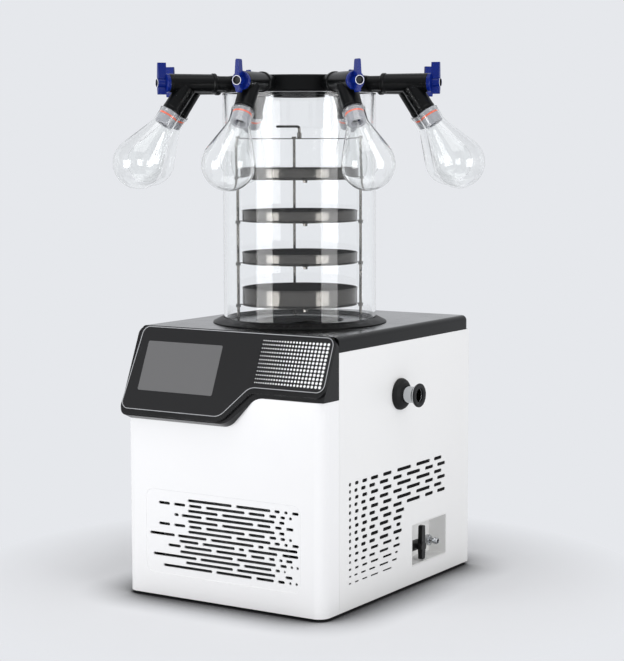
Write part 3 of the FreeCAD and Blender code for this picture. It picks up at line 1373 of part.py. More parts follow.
def o_rings():
    """Orange sealing rings in the stoppers' grooves."""
    bodies = []
    low = "(branch_length + 0.4 + ring_drop)"
    high = "(%s + ring_section)" % low
    outside = "(neck_radius - glass_wall - stopper_fit)"
    for number in PORTS:
        body = doc.addObject("PartDesign::Body", "o_ring_%d" % (number + 1))
        place_round(body, port_turn(number))
        sketch = branch_sketch(body)
        outline(sketch, [(outside + " - 1.5", low), (outside + " + 0.05", low),
                         (outside + " + 0.05", high), (outside + " - 1.5", high)])
        revolve(body, sketch)
        bodies.append(body)
    group("o_rings", bodies)


# ------------------------------------------------------------ rack and trays
RACK_TOP = "(%s + rack_height)" % DECK_TOP


def tray_level(number):
    return "(%s + lowest_tray + %d * tray_spacing)" % (DECK_TOP, number)


def tray_rack():
    """Rods, shelf rings and a top plate that carry the trays, with a lifting handle."""
    body = new_body("tray_rack")
    place_round(body, "rack_angle")
    sketch = new_sketch(body, "XY", RACK_TOP)
    circle(sketch, "plate_radius")
    pad(body, sketch, "plate_sheet")
    sketch = new_sketch(body, "XY", DECK_TOP)
    for x, y in (("rod_circle", "0"), ("0", "rod_circle"), ("-rod_circle", "0")):
        circle(sketch, "rod_radius", x, y)
    pad(body, sketch, "rack_height + plate_sheet + 3")
    shelf = "(%s - plate_sheet)" % tray_level(0)
    sketch = new_sketch(body, "XY", shelf)
    circle(sketch, "shelf_outer")
    circle(sketch, "shelf_inner")
    ring = pad(body, sketch, "plate_sheet")
    sketch = new_sketch(body, "XY", shelf)
    half, near, far = "(lug_width / 2)", "(shelf_outer - 3)", "(rod_circle + 4)"
    rectangle(sketch, near, far, "-" + half, half)
    rectangle(sketch, "-" + far, "-" + near, "-" + half, half)
    rectangle(sketch, "-" + half, half, near, far)
    rectangle(sketch, "-" + half, half, "-" + far, "-" + near)
    lugs = pad(body, sketch, "plate_sheet")
    sketch = new_sketch(body, "XY", "%s - 4" % shelf)
    for x, y in (("rod_circle", "0"), ("0", "rod_circle"), ("-rod_circle", "0"), ("0", "-rod_circle")):
        circle(sketch, "rod_radius + 1.8", x, y)
    nuts = pad(body, sketch, "4")
    repeat_linear(body, [ring, lugs, nuts], "Z", "(tray_count - 1) * tray_spacing", whole("tray_count"))
    lifting_handle(body)


def lifting_handle(body):
    """Hairpin of wire standing on the top plate."""
    base = "(%s + plate_sheet)" % RACK_TOP
    level = "(%s + bail_height - bail_radius)" % base
    half = "(bail_gap / 2)"
    sketch = new_sketch(body, "XY", base)
    circle(sketch, "bail_radius - 0.2", "0", "-" + half)
    circle(sketch, "bail_radius - 0.2", "0", half)
    pad(body, sketch, "bail_height - bail_radius")
    sketch = new_sketch(body, "XY", level + " - bail_radius")
    inner, outer = "(%s - bail_radius)" % half, "(%s + bail_radius)" % half
    end = "-bail_reach"
    outline(sketch, rounded([("bail_radius", outer), (end, outer, "6.5"), (end, "-" + outer, "6.5"),
                             ("bail_radius", "-" + outer), ("bail_radius", "-" + inner),
                             (end + " + 4", "-" + inner, "2.8"), (end + " + 4", inner, "2.8"),
                             ("bail_radius", inner)]))
    pad(body, sketch, "2 * bail_radius")


def trays():
    """Round trays standing on the shelf rings."""
    for number in range(whole("tray_count")):
        body = new_body("tray_%d" % (number + 1))
        low = tray_level(number)
        height = "deep_tray_height" if number == 0 else "tray_height"
        top = "(%s + %s)" % (low, height)
        turned(body, [("0", low), ("tray_radius", low, "3"), ("tray_radius", top),
                      ("tray_radius - tray_wall", top),
                      ("tray_radius - tray_wall", low + " + tray_wall", "2"), ("0", low + " + tray_wall")])


# ----------------------------------------------------------------- machinery
CONDENSER_FRONT = "(%s + moulding_wall + 8)" % FRONT
SHROUD_FRONT = "(%s + condenser_depth)" % CONDENSER_FRONT
SHROUD_BACK = "(%s + shroud_depth)" % SHROUD_FRONT


def compressor():
    """Hermetic compressor on four rubber mounts."""
    body = new_body("compressor")
    for axis, expression in zip("xyz", ("compressor_x", "compressor_y", PAN_TOP)):
        body.setExpression("Placement.Base." + axis, bound(expression))
    sketch = new_sketch(body, "XY", "mount_height")
    rectangle(sketch, "-62", "62", "-62", "62")
    pad(body, sketch, "3")
    sketch = new_sketch(body, "XY")
    for x, y in ((-52, -52), (52, -52), (-52, 52), (52, 52)):
        circle(sketch, "9", str(x), str(y))
    pad(body, sketch, "mount_height")
    low = "(mount_height + 2)"
    high = "(mount_height + compressor_height)"
    turned(body, [("0", low), ("compressor_radius - 8", low), ("compressor_radius - 8", low + " + 70"),
                  ("compressor_radius", low + " + 78"), ("compressor_radius", low + " + 84"),
                  ("compressor_radius - 10", low + " + 90"), ("compressor_radius - 10", high, "24"),
                  ("0", high)])


def condenser():
    """Finned condenser behind the front slots."""
    body = new_body("condenser")
    half = "(condenser_width / 2)"
    sketch = new_sketch(body, "XZ", CONDENSER_FRONT)
    rectangle(sketch, "-" + half, half, PAN_TOP, PAN_TOP + " + condenser_height")
    pad(body, sketch, "condenser_depth")
    pitch = "((condenser_width - 30) / fin_count)"
    sketch = new_sketch(body, "XZ", CONDENSER_FRONT)
    rectangle(sketch, "15 - " + half, "15 + fin_groove - " + half, PAN_TOP + " + 10",
              PAN_TOP + " + condenser_height - 10")
    slot = cut(body, sketch, "fin_groove")
    repeat_linear(body, [slot], "X", "%s * (fin_count - 1)" % pitch, whole("fin_count"))


def fan_shroud():
    """Square duct between condenser and fan."""
    body = new_body("fan_shroud")
    half = "(shroud_size / 2)"
    sketch = new_sketch(body, "XZ", SHROUD_FRONT)
    rectangle(sketch, "-" + half, half, "fan_z - " + half, "fan_z + " + half)
    circle(sketch, "fan_radius + fan_play", "0", "fan_z")
    pad(body, sketch, "shroud_depth")


def fan_motor():
    """Fan motor on a cross of two straps behind the shroud."""
    body = new_body("fan_motor")
    reach = "(fan_radius + fan_play + 8)"
    sketch = new_sketch(body, "XZ", SHROUD_BACK)
    rectangle(sketch, "-" + reach, reach, "fan_z - 7", "fan_z + 7")
    pad(body, sketch, "3")
    sketch = new_sketch(body, "XZ", SHROUD_BACK)
    rectangle(sketch, "-7", "7", "fan_z - " + reach, "fan_z + " + reach)
    pad(body, sketch, "3")
    sketch = new_sketch(body, "XZ", SHROUD_BACK)
    circle(sketch, "motor_radius", "0", "fan_z")
    pad(body, sketch, "motor_length")
    sketch = new_sketch(body, "XZ", SHROUD_BACK + " - 14")
    circle(sketch, "4", "0", "fan_z")
    pad(body, sketch, "16")


def condenser_fan():
    """Axial fan in the shroud."""
    body = new_body("condenser_fan")
    middle = "(%s - 6 - fan_width / 2)" % SHROUD_BACK
    for axis, expression in zip("yz", (middle, "fan_z")):
        body.setExpression("Placement.Base." + axis, bound(expression))
    sketch = new_sketch(body, "XZ", "-fan_width / 2")
    circle(sketch, "fan_hub")
    pad(body, sketch, "fan_width")
    sketch = new_sketch(body, "YZ", "fan_hub - 3", turn="55")
    rectangle(sketch, "-1", "1", "-13", "13")
    blade = pad(body, sketch, "fan_radius - fan_hub + 3")
    repeat_round(body, [blade], "Y", whole("blade_count"))
    sketch = new_sketch(body, "XZ", "fan_width / 2 - 9")
    circle(sketch, "4.4")
    cut(body, sketch, "9")


# ---------------------------------------------------------------------- rear
ROCKER_OPENING = "(rocker_height / 2 + 0.4)"


def power_inlet():
    """Mains inlet with the opening for the power rocker above it."""
    body = new_body("power_inlet")
    half = "(inlet_width / 2)"
    low = "(inlet_z - inlet_height / 2 - 3)"
    high = "(rocker_z + rocker_height / 2 + 4)"
    sketch = new_sketch(body, "XZ", "%s - 26" % BACK)
    rectangle(sketch, "inlet_x - " + half, "inlet_x + " + half, low, high)
    pad(body, sketch, "26")
    sketch = new_sketch(body, "XZ", BACK)
    left, right = "(inlet_x - %s - 3)" % half, "(inlet_x + %s + 3)" % half
    outline(sketch, rounded([(left, low + " - 3", "4"), (right, low + " - 3", "4"),
                             (right, high + " + 3", "4"), (left, high + " + 3", "4")]))
    pad(body, sketch, "2")
    sketch = new_sketch(body, "XZ", "%s - 16" % BACK)
    outline(sketch, [("inlet_x - 12", "inlet_z - 8"), ("inlet_x + 12", "inlet_z - 8"),
                     ("inlet_x + 12", "inlet_z + 3"), ("inlet_x + 7", "inlet_z + 8"),
                     ("inlet_x - 7", "inlet_z + 8"), ("inlet_x - 12", "inlet_z + 3")])
    cut(body, sketch, "18")
    sketch = new_sketch(body, "XZ", "%s - 17" % BACK)
    for x, z in ((-7, -3), (7, -3), (0, 1)):
        rectangle(sketch, "inlet_x + %g" % (x - 1), "inlet_x + %g" % (x + 1), "inlet_z + %g" % (z - 2),
                  "inlet_z + %g" % (z + 2))
    pad(body, sketch, "14")
    sketch = new_sketch(body, "XZ", "%s - 14" % BACK)
    rectangle(sketch, "inlet_x - rocker_width / 2 - 0.4", "inlet_x + rocker_width / 2 + 0.4",
              "rocker_z - " + ROCKER_OPENING, "rocker_z + " + ROCKER_OPENING)
    cut(body, sketch, "16")


def power_rocker():
    """Rocker of the power switch."""
    body = new_body("power_rocker")
    for axis, expression in zip("xyz", ("inlet_x", BACK + " - 3", "rocker_z")):
        body.setExpression("Placement.Base." + axis, bound(expression))
    sketch = new_sketch(body, "YZ", "-rocker_width / 2")
    reach = "(rocker_height / 2 - 2)"
    outline(sketch, [("-3", "-9"), ("2.6", "-" + reach), ("4.4", "0"), ("6.8", reach), ("-3", "9")])
    pad(body, sketch, "rocker_width")


# --------------------------------------------------------------------- build
BUILDERS = [
    base_pan, feet, front_moulding, side_panel_right, lambda: side_panel("side_panel_left", -1),
    vent_filters, rear_panel, top_cover, control_housing, fascia_bead, fascia_panel, touch_screen,
    drain_niche, drain_valve_body, drain_lever, drain_nozzle, drain_hose,
    vacuum_port_tube, vacuum_port_ring, vacuum_port_boot,
    cold_trap_bucket, evaporator_jacket, trap_insulation,
    chamber_flange, trap_deck, chamber_cylinder, chamber_seals,
    manifold_hub, valve_bodies, valve_handles, flasks, stoppers, o_rings,
    tray_rack, trays,
    compressor, condenser, fan_shroud, fan_motor, condenser_fan,
    power_inlet, power_rocker,
]
for build in BUILDERS:
    build()
doc.recompute()

for item in doc.Objects:
    faults = [state for state in item.State if state in ("Invalid", "Error")]
    if faults:
        raise RuntimeError("%s is not sound: %s" % (item.Label, faults))
for node in NODES:
    if node.Shape.isNull() or not node.Shape.isValid():
        raise RuntimeError("%s has no valid shape" % node.Label)
for node in NODES:
    node.Shape.exportStep("parts/%s.step" % node.Label)
print("%d parts written" % len(NODES))
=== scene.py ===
# %% [markdown]
# # A benchtop freeze dryer, piece by piece
# The cabinet holds the refrigeration, and a clear chamber with trays stands on its top.
# A black manifold on the chamber carries eight valves, and a glass flask hangs from each.
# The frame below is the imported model, in metres: X to the operator's right, Y to the back, Z up.

# %% Load the frame
import json
from math import acos, atan2, cos, degrees, hypot, pi, radians, sin, sqrt, tan

import bmesh
import bpy
from mathutils import Matrix, Vector
from mathutils.kdtree import KDTree


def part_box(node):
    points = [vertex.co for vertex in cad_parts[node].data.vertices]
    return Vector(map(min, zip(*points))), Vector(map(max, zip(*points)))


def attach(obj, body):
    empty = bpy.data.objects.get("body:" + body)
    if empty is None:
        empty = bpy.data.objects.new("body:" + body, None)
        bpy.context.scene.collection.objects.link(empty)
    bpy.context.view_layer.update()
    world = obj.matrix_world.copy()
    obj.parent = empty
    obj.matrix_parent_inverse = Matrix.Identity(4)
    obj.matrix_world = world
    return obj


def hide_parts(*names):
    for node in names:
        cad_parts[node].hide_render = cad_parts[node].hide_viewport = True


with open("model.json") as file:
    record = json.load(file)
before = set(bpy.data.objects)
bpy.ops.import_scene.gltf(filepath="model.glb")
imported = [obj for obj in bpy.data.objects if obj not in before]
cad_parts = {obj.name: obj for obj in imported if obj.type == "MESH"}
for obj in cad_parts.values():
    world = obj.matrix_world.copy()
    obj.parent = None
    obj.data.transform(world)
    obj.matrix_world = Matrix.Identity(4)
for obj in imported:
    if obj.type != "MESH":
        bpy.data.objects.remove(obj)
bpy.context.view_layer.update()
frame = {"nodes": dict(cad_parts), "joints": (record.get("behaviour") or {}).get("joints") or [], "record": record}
MM = 0.001


def corners_of(node):
    """The low and the high corner of a node's box, as (x, y, z) in millimetres."""
    return [[value / MM for value in corner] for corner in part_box(node)]


def at(x, y, z=0):
    """A move in millimetres."""
    return Matrix.Translation((x * MM, y * MM, z * MM))


def about(axis, angle):
    """A turn about one axis of the frame."""
    return Matrix.Rotation(angle, 4, axis)


def add_object(name, data):
    """Put a mesh, curve, lamp or camera into the scene."""
    thing = bpy.data.objects.new(name, data)
    bpy.context.scene.collection.objects.link(thing)
    return thing


# %% [markdown]
# ## Looking at it
# A long lens keeps the cabinet's upright edges nearly parallel, as in a catalogue.
# The camera stands at the right front corner, a little above the tray rack.

# %% Camera
CAMERA_TURN, CAMERA_DROP, CAMERA_ROLL = radians(32.44), radians(5.93), radians(-0.154)
camera = add_object("camera", bpy.data.cameras.new("camera"))
bpy.context.scene.camera = camera
camera.data.lens = 99.57
camera.data.sensor_width = 36
camera.matrix_world = (Matrix.Translation((1.70547, -2.64431, 0.76354)) @ about("Z", CAMERA_TURN)
                       @ about("X", pi / 2 - CAMERA_DROP) @ about("Z", CAMERA_ROLL))
print("camera lens", camera.data.lens)


# %% [markdown]
# ## Wiring shader nodes
# A node tree is easier to read as a list of calls than as a picture. `wire` adds one node,
# sets its plain values and links whatever is given as another node's socket.

# %% Node helpers
def fill(node, sockets):
    """Give each named socket its value, or link it to a socket or to a node's first output."""
    for name, value in sockets.items():
        if isinstance(value, bpy.types.Node):
            value = value.outputs[0]
        if isinstance(value, bpy.types.NodeSocket):
            node.id_data.links.new(value, node.inputs[name])
        else:
            node.inputs[name].default_value = value


def wire(tree, kind, sockets=None, **settings):
    """Add a node, set its properties and fill its sockets."""
    node = tree.nodes.new(kind)
    for name, value in settings.items():
        setattr(node, name, value)
    fill(node, sockets or {})
    return node


def new_tree(name, kind, inputs, outputs):
    """A node group; gives the tree, the sockets it is given, and its output node.

    A text names the kind of a socket, and a value gives both its kind and its default."""
    tree = bpy.data.node_groups.new(name, kind)
    for side, sockets in (("INPUT", inputs), ("OUTPUT", outputs)):
        for label, value in sockets.items():
            sort = {int: "Int", float: "Float", str: value}.get(type(value))
            sort = sort or {3: "Vector", 4: "Color"}[len(value)]
            socket = tree.interface.new_socket(label, in_out=side, socket_type="NodeSocket" + sort)
            if sort != value:
                socket.default_value = value
    return tree, tree.nodes.new("NodeGroupInput").outputs, tree.nodes.new("NodeGroupOutput")


def maths(tree, operation, *values, **settings):
    """Reckon with values and sockets."""
    return wire(tree, "ShaderNodeMath", dict(enumerate(values)), operation=operation, **settings)


def vector(tree, *parts):
    """Combine parts into a vector."""
    return wire(tree, "ShaderNodeCombineXYZ", dict(enumerate(parts)))


def srgb(red, green, blue):
    """A colour as seen on a screen, 0 to 255, turned into the linear light Blender counts in."""
    def linear(level):
        level /= 255
        return level / 12.92 if level <= 0.04045 else ((level + 0.055) / 1.055) ** 2.4
    return linear(red), linear(green), linear(blue), 1.0


print("node helpers ready")

# %% [markdown]
# ## Effects that many finishes share
# Moulded plastic, lacquered steel and cast rubber all differ a little from place to place.
# Each group below is one such effect, and every material places it with its own values.

# %% Mottle: small drifts of lightness
MID_GREY = (0.8, 0.8, 0.8, 1)


def noise(tree, scale, detail, roughness=0.5):
    """Noise in Object coordinates, so that it stays put on a piece."""
    place = wire(tree, "ShaderNodeTexCoord").outputs["Object"]
    return wire(tree, "ShaderNodeTexNoise", {"Vector": place, "Scale": scale, "Detail": detail,
                "Roughness": roughness}).outputs["Fac"]


MOTTLE, given, result = new_tree("mottle", "ShaderNodeTree", {
    "Color": MID_GREY, "Strength": 0.05, "Scale": 12.0}, {"Color": "Color"})
swing = maths(MOTTLE, "SUBTRACT", noise(MOTTLE, given["Scale"], 5.0, 0.6), 0.5)
level = maths(MOTTLE, "ADD", maths(MOTTLE, "MULTIPLY", swing, given["Strength"]), 1.0)
shade = wire(MOTTLE, "ShaderNodeHueSaturation", {"Value": level, "Color": given["Color"]})
fill(result, {"Color": shade})
print("group", MOTTLE.name)

# %% Edge wear: corners rubbed lighter or darker
MIX_SOCKETS = {"RGBA": (6, 7, 2), "VECTOR": (4, 5, 1)}


def mixed(tree, factor, first, second, kind="RGBA"):
    """Mix two colours or vectors; a Mix node has other sockets for each kind."""
    one, other, result = MIX_SOCKETS[kind]
    return wire(tree, "ShaderNodeMix", {"Factor": factor, one: first, other: second},
                data_type=kind).outputs[result]


def remapped(tree, value, low, high, to_low=0.0, to_high=1.0):
    """Stretch a band of values over another one."""
    return wire(tree, "ShaderNodeMapRange", {"Value": value, "From Min": low, "From Max": high,
                "To Min": to_low, "To Max": to_high})


def lay_over(tree, given, result, second, where, patches):
    """Mix a second colour in where both a mask and patches of noise let it."""
    amount = maths(tree, "MULTIPLY", patches, given["Amount"])
    mask = maths(tree, "MULTIPLY", where, amount, use_clamp=True)
    fill(result, {"Color": mixed(tree, mask, given["Color"], given[second])})


EDGE_WEAR, given, result = new_tree("edge_wear", "ShaderNodeTree", {
    "Color": MID_GREY, "Worn Color": (0.9, 0.9, 0.9, 1), "Radius": 0.001, "Amount": 0.5,
    "Scale": 60.0}, {"Color": "Color"})
softened = wire(EDGE_WEAR, "ShaderNodeBevel", {"Radius": given["Radius"]}, samples=4)
surface = wire(EDGE_WEAR, "ShaderNodeNewGeometry").outputs
agree = wire(EDGE_WEAR, "ShaderNodeVectorMath", {0: softened, 1: surface["Normal"]},
             operation="DOT_PRODUCT")
edges = remapped(EDGE_WEAR, agree.outputs["Value"], 0.995, 0.8)
patches = remapped(EDGE_WEAR, noise(EDGE_WEAR, given["Scale"], 6.0), 0.35, 0.65)
lay_over(EDGE_WEAR, given, result, "Worn Color", edges, patches)
print("group", EDGE_WEAR.name)

# %% Dust: a thin veil on what faces up
DUST, given, result = new_tree("dust", "ShaderNodeTree", {
    "Color": MID_GREY, "Dust Color": srgb(176, 172, 164), "Amount": 0.1, "Scale": 40.0},
    {"Color": "Color"})
surface = wire(DUST, "ShaderNodeNewGeometry").outputs
upward = wire(DUST, "ShaderNodeSeparateXYZ", {0: surface["Normal"]})
tops = remapped(DUST, upward.outputs["Z"], 0.4, 1.0)
patches = remapped(DUST, noise(DUST, given["Scale"], 8.0, 0.7), 0.3, 0.75)
lay_over(DUST, given, result, "Dust Color", tops, patches)
print("group", DUST.name)

# %% Smudge and grain: uneven gloss, and a fine skin
SMUDGE, given, result = new_tree("smudge", "ShaderNodeTree", {
    "Low": 0.3, "High": 0.4, "Scale": 18.0}, {"Roughness": "Float"})
cloud = noise(SMUDGE, given["Scale"], 7.0, 0.62)
fill(result, {"Roughness": remapped(SMUDGE, cloud, 0.3, 0.7, given["Low"], given["High"])})

GRAIN, given, result = new_tree("grain", "ShaderNodeTree", {
    "Scale": 900.0, "Stretch": (1.0, 1.0, 1.0), "Turned": 0.0}, {"Height": "Float"})
place = wire(GRAIN, "ShaderNodeTexCoord").outputs["Object"]
parts = wire(GRAIN, "ShaderNodeSeparateXYZ", {0: place}).outputs
flat = vector(GRAIN, parts["X"], parts["Y"])
reach = wire(GRAIN, "ShaderNodeVectorMath", {0: flat}, operation="LENGTH").outputs["Value"]
way = mixed(GRAIN, given["Turned"], place, vector(GRAIN, reach, 0, parts["Z"]), "VECTOR")
drawn = wire(GRAIN, "ShaderNodeVectorMath", {0: way, 1: given["Stretch"]}, operation="MULTIPLY")
skin = wire(GRAIN, "ShaderNodeTexNoise", {"Vector": drawn, "Scale": given["Scale"], "Detail": 3.0})
fill(result, {"Height": skin.outputs["Fac"]})
print("groups", SMUDGE.name, GRAIN.name)

# %% [markdown]
# ## One recipe for every opaque finish
# Each finish starts from its own colour, drifts a little, wears at the edges and gathers dust.
# Its gloss is smudged and its skin has a grain. Clear parts get a recipe of their own below.

# %% Recipe for opaque finishes
FINISHES = {}


def effect(tree, group, sockets):
    """Place an effect in a material."""
    return wire(tree, "ShaderNodeGroup", sockets, node_tree=group)


def new_material(name):
    material = bpy.data.materials.new(name)
    material.use_nodes = True
    tree = material.node_tree
    return material, tree, tree.nodes["Principled BSDF"]


def opaque(name, color, gloss, worn=None, wear=0.3, edge=0.8, drift=0.12, drift_scale=14, dust=0.0,
           grain=(900, 0.03), stretch=(1, 1, 1), turned=0.0, shine=0.5, metal=0.0):
    """A finish: colours are as on a screen, gloss is (smoothest, roughest), and grain is
    (scale, depth in millimetres)."""
    material, tree, surface = new_material(name)
    colour = effect(tree, MOTTLE, {"Color": srgb(*color), "Strength": drift,
                                   "Scale": drift_scale})
    if worn:
        colour = effect(tree, EDGE_WEAR, {"Color": colour, "Worn Color": srgb(*worn),
                                          "Radius": edge * MM, "Amount": wear})
    if dust:
        colour = effect(tree, DUST, {"Color": colour, "Amount": dust})
    rough = effect(tree, SMUDGE, {"Low": gloss[0], "High": gloss[1]})
    skin = effect(tree, GRAIN, {"Scale": grain[0], "Stretch": stretch, "Turned": turned})
    bump = wire(tree, "ShaderNodeBump", {"Height": skin, "Strength": 0.6,
                "Distance": grain[1] * MM})
    fill(surface, {"Base Color": colour, "Roughness": rough, "Normal": bump,
                   "Specular IOR Level": shine, "Metallic": metal})
    FINISHES[name] = material


print("recipe ready")

# %% [markdown]
# ### Cabinet finishes
# The front is gloss-white moulded plastic, the sides are steel with a fine powder coat, and the
# cover is dark satin plastic. Powder coat has a faint orange-peel skin, which the grain gives.

# %% White and dark cabinet finishes
opaque("white_moulding", (244, 244, 245), (0.16, 0.24), worn=(226, 226, 224), wear=0.2,
       drift=0.015, dust=0.02, grain=(220, 0.02))
opaque("white_panel", (240, 240, 240), (0.34, 0.46), worn=(214, 214, 212), wear=0.25, drift=0.02,
       dust=0.03, grain=(1400, 0.05))
opaque("niche_white", (236, 236, 235), (0.3, 0.42), drift=0.03, dust=0.08)
# The cover's lighter rubbed edges are partly wear and partly a painted highlight along its rolled edge.
opaque("dark_cover", (9, 10, 11), (0.1, 0.17), worn=(62, 63, 65), wear=0.25, dust=0.02,
       grain=(1500, 0.008), shine=0.18)
opaque("housing_black", (14, 14, 15), (0.2, 0.3), worn=(110, 111, 113), wear=0.35, edge=0.7,
       drift=0.1, dust=0.01, grain=(1200, 0.02), shine=0.25)
opaque("fascia_smoke", (43, 43, 44), (0.4, 0.5), drift=0.03, grain=(600, 0.004), shine=0.05)
opaque("bead_bright", (176, 177, 180), (0.18, 0.28), drift=0.05, grain=(800, 0.004))
opaque("screen", (110, 110, 111), (0.3, 0.34), drift=0.01, drift_scale=5, grain=(300, 0.001),
       shine=0.06)
opaque("pan_steel", (150, 152, 154), (0.32, 0.5), worn=(190, 190, 190), wear=0.4, drift=0.2,
       drift_scale=60, dust=0.1, grain=(700, 0.03), metal=0.9)
# Painted shade: black pads behind the vent slots stand in for the dark, shaded inside of the cabinet.
opaque("filter_black", (12, 12, 13), (0.85, 0.98), drift=0.3, drift_scale=300, grain=(380, 0.5),
       shine=0.2)
print(len(FINISHES), "cabinet finishes")

# %% [markdown]
# ### Rubber, plastic and machinery finishes
# Rubber is dull and picks up dust. The handles are glossy moulded nylon. Cast and painted
# machinery shows a coarser skin.

# %% Rubber, plastic and machinery finishes
opaque("rubber_black", (24, 24, 25), (0.55, 0.72), drift=0.15, dust=0.08, grain=(1100, 0.05),
       shine=0.2)
opaque("valve_rubber", (8, 9, 10), (0.24, 0.36), worn=(40, 41, 44), drift=0.14, dust=0.01,
       grain=(900, 0.04), shine=0.14)
opaque("hub_black", (8, 9, 10), (0.3, 0.42), worn=(48, 49, 52), dust=0.01, grain=(700, 0.03),
       shine=0.14)
opaque("flange_black", (12, 13, 14), (0.34, 0.46), worn=(60, 62, 64), dust=0.02, shine=0.14)
opaque("deck_black", (16, 20, 22), (0.16, 0.24), drift=0.08, dust=0.01, grain=(400, 0.004),
       shine=0.12)
opaque("lever_black", (18, 18, 19), (0.28, 0.4), worn=(74, 74, 76), dust=0.04, shine=0.3)
opaque("handle_blue", (10, 34, 118), (0.2, 0.3), worn=(40, 70, 168), wear=0.35, drift=0.08,
       grain=(500, 0.015), shine=0.16)
opaque("silicone_grey", (140, 141, 146), (0.26, 0.36), drift=0.06, grain=(600, 0.02), shine=0.4)
opaque("ring_orange", (228, 92, 52), (0.34, 0.46), drift=0.06, grain=(800, 0.02))
opaque("seal_dark", (34, 35, 37), (0.5, 0.62), drift=0.1, dust=0.05, shine=0.2)
opaque("foam", (226, 214, 170), (0.8, 0.95), drift_scale=120, dust=0.05, grain=(500, 0.4))
opaque("hose_grey", (120, 122, 124), (0.3, 0.42), drift=0.06, dust=0.05, grain=(700, 0.02))
opaque("compressor_black", (28, 28, 30), (0.34, 0.5), worn=(88, 88, 90), wear=0.4, dust=0.14,
       grain=(420, 0.08))
opaque("shroud_black", (26, 26, 28), (0.4, 0.55), drift=0.1, dust=0.1, grain=(700, 0.05))
opaque("fan_black", (30, 30, 32), (0.35, 0.5), drift=0.1, dust=0.1, grain=(700, 0.03))
opaque("inlet_black", (20, 20, 21), (0.34, 0.5), worn=(70, 70, 72), wear=0.4, drift=0.1, dust=0.03,
       grain=(900, 0.04), shine=0.3)
print(len(FINISHES), "finishes so far")

# %% [markdown]
# ### Metals
# The trays are spun from stainless sheet, so their brush marks run round the chamber's axis.
# The grain group does that when Turned is 1: it reads the distance from the axis and the height.

# %% Metals
opaque("stainless", (86, 84, 81), (0.05, 0.11), worn=(140, 139, 136), drift=0.1, drift_scale=30,
       grain=(500, 0.006), stretch=(1, 1, 3), turned=1, metal=1)
opaque("copper", (184, 108, 72), (0.24, 0.4), drift=0.25, drift_scale=30, dust=0.04,
       grain=(400, 0.02), metal=1)
opaque("nozzle_chrome", (186, 188, 190), (0.06, 0.14), drift=0.05, grain=(500, 0.004), metal=1)
opaque("condenser_alu", (150, 152, 154), (0.3, 0.45), drift=0.2, drift_scale=50, dust=0.12,
       metal=1)
print("metals added:", len(FINISHES))


# %% [markdown]
# ### Clear parts
# The chamber is cast acrylic and the flasks are blown glass. Light has to reach what is
# behind them, so shadow rays pass straight through a second, transparent shader. The acrylic
# has a lower index than the real 1.49, which keeps veils of reflection off the dark trays.

# %% Clear finishes
def clear(name, tint, ior):
    """A clear finish: a trace of colour drift and smudge, and shadows that light passes."""
    material, tree, surface = new_material(name)
    colour = effect(tree, MOTTLE, {"Color": tint, "Strength": 0.01, "Scale": 9.0})
    rough = effect(tree, SMUDGE, {"Low": 0.0, "High": 0.01, "Scale": 25.0})
    fill(surface, {"Base Color": colour, "Roughness": rough, "IOR": ior,
                   "Transmission Weight": 1.0})
    path = wire(tree, "ShaderNodeLightPath")
    through = wire(tree, "ShaderNodeBsdfTransparent", {"Color": tint})
    choose = wire(tree, "ShaderNodeMixShader", {0: path.outputs["Is Shadow Ray"],
                  1: surface, 2: through})
    fill(tree.nodes["Material Output"], {"Surface": choose})
    FINISHES[name] = material


clear("acrylic", (0.99, 0.995, 0.995, 1), 1.33)
clear("flask_glass", (0.985, 0.99, 0.988, 1), 1.47)
missing = {row["slot"] for row in frame["record"]["materials"]} - set(FINISHES)
print("finishes:", len(FINISHES), "still without one:", sorted(missing))


# %% [markdown]
# ## Placing pieces
# A piece's object stays at the origin and its place is in its mesh, so a pattern that reads
# object coordinates stays put. `show` gives a mesh its finish, its body and the solid it
# stands for.

# %% Piece helpers
def baked(carrier):
    """The plain mesh of an object with its modifiers applied; the object is dropped."""
    graph = bpy.context.evaluated_depsgraph_get()
    mesh = bpy.data.meshes.new_from_object(carrier.evaluated_get(graph))
    carrier.modifiers.clear()
    bpy.data.objects.remove(carrier)
    return mesh


def finished(mesh, *steps):
    """Run modifiers, given as (kind, settings), on a mesh."""
    carrier = add_object("carrier", mesh)
    for kind, settings in steps:
        modifier = carrier.modifiers.new(kind, kind)
        for key, value in settings.items():
            setattr(modifier, key, value)
    return baked(carrier)


def grown(mesh, tree, finish, **values):
    """Run a Geometry Nodes tree on a mesh; its inputs are set by their identifiers."""
    values["Material"] = FINISHES[finish]
    carrier = add_object("carrier", mesh)
    modifier = carrier.modifiers.new(tree.name, "NODES")
    modifier.node_group = tree
    for item in tree.interface.items_tree:
        name = item.name.replace(" ", "_")
        if item.item_type == "SOCKET" and item.in_out == "INPUT" and name in values:
            modifier[item.identifier] = values[name]
    return baked(carrier)


def show(name, mesh, finish, stands_for=(), body="cabinet", sharp=50, even=True):
    """Turn a finished mesh into a piece of the object.

    Evened normals let a flat face stay flat in the light, up to the bevel along its edge."""
    if not mesh.materials:
        mesh.materials.append(FINISHES[finish])
    mesh.shade_smooth()
    mesh.set_sharp_from_angle(angle=radians(sharp))
    if even:
        mesh = finished(mesh, ("WEIGHTED_NORMAL", {"keep_sharp": True, "weight": 80}))
    mesh.name = name
    piece = add_object(name, mesh)
    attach(piece, body)
    if stands_for:
        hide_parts(*stands_for)
    print(name, len(mesh.polygons), "faces")


def as_mesh(shape):
    """Close a bmesh and give its mesh."""
    mesh = bpy.data.meshes.new("shape")
    shape.to_mesh(mesh)
    shape.free()
    return mesh


def opened(*meshes):
    """A bmesh with all that the meshes hold."""
    shape = bmesh.new()
    for mesh in meshes:
        shape.from_mesh(mesh)
    return shape


def eased(width, segments=2, angle=radians(38)):
    """The bevel that takes the razor edge off a machined form."""
    return (("BEVEL", {"width": width * MM, "segments": segments, "limit_method": "ANGLE",
                       "angle_limit": angle, "use_clamp_overlap": True}),)


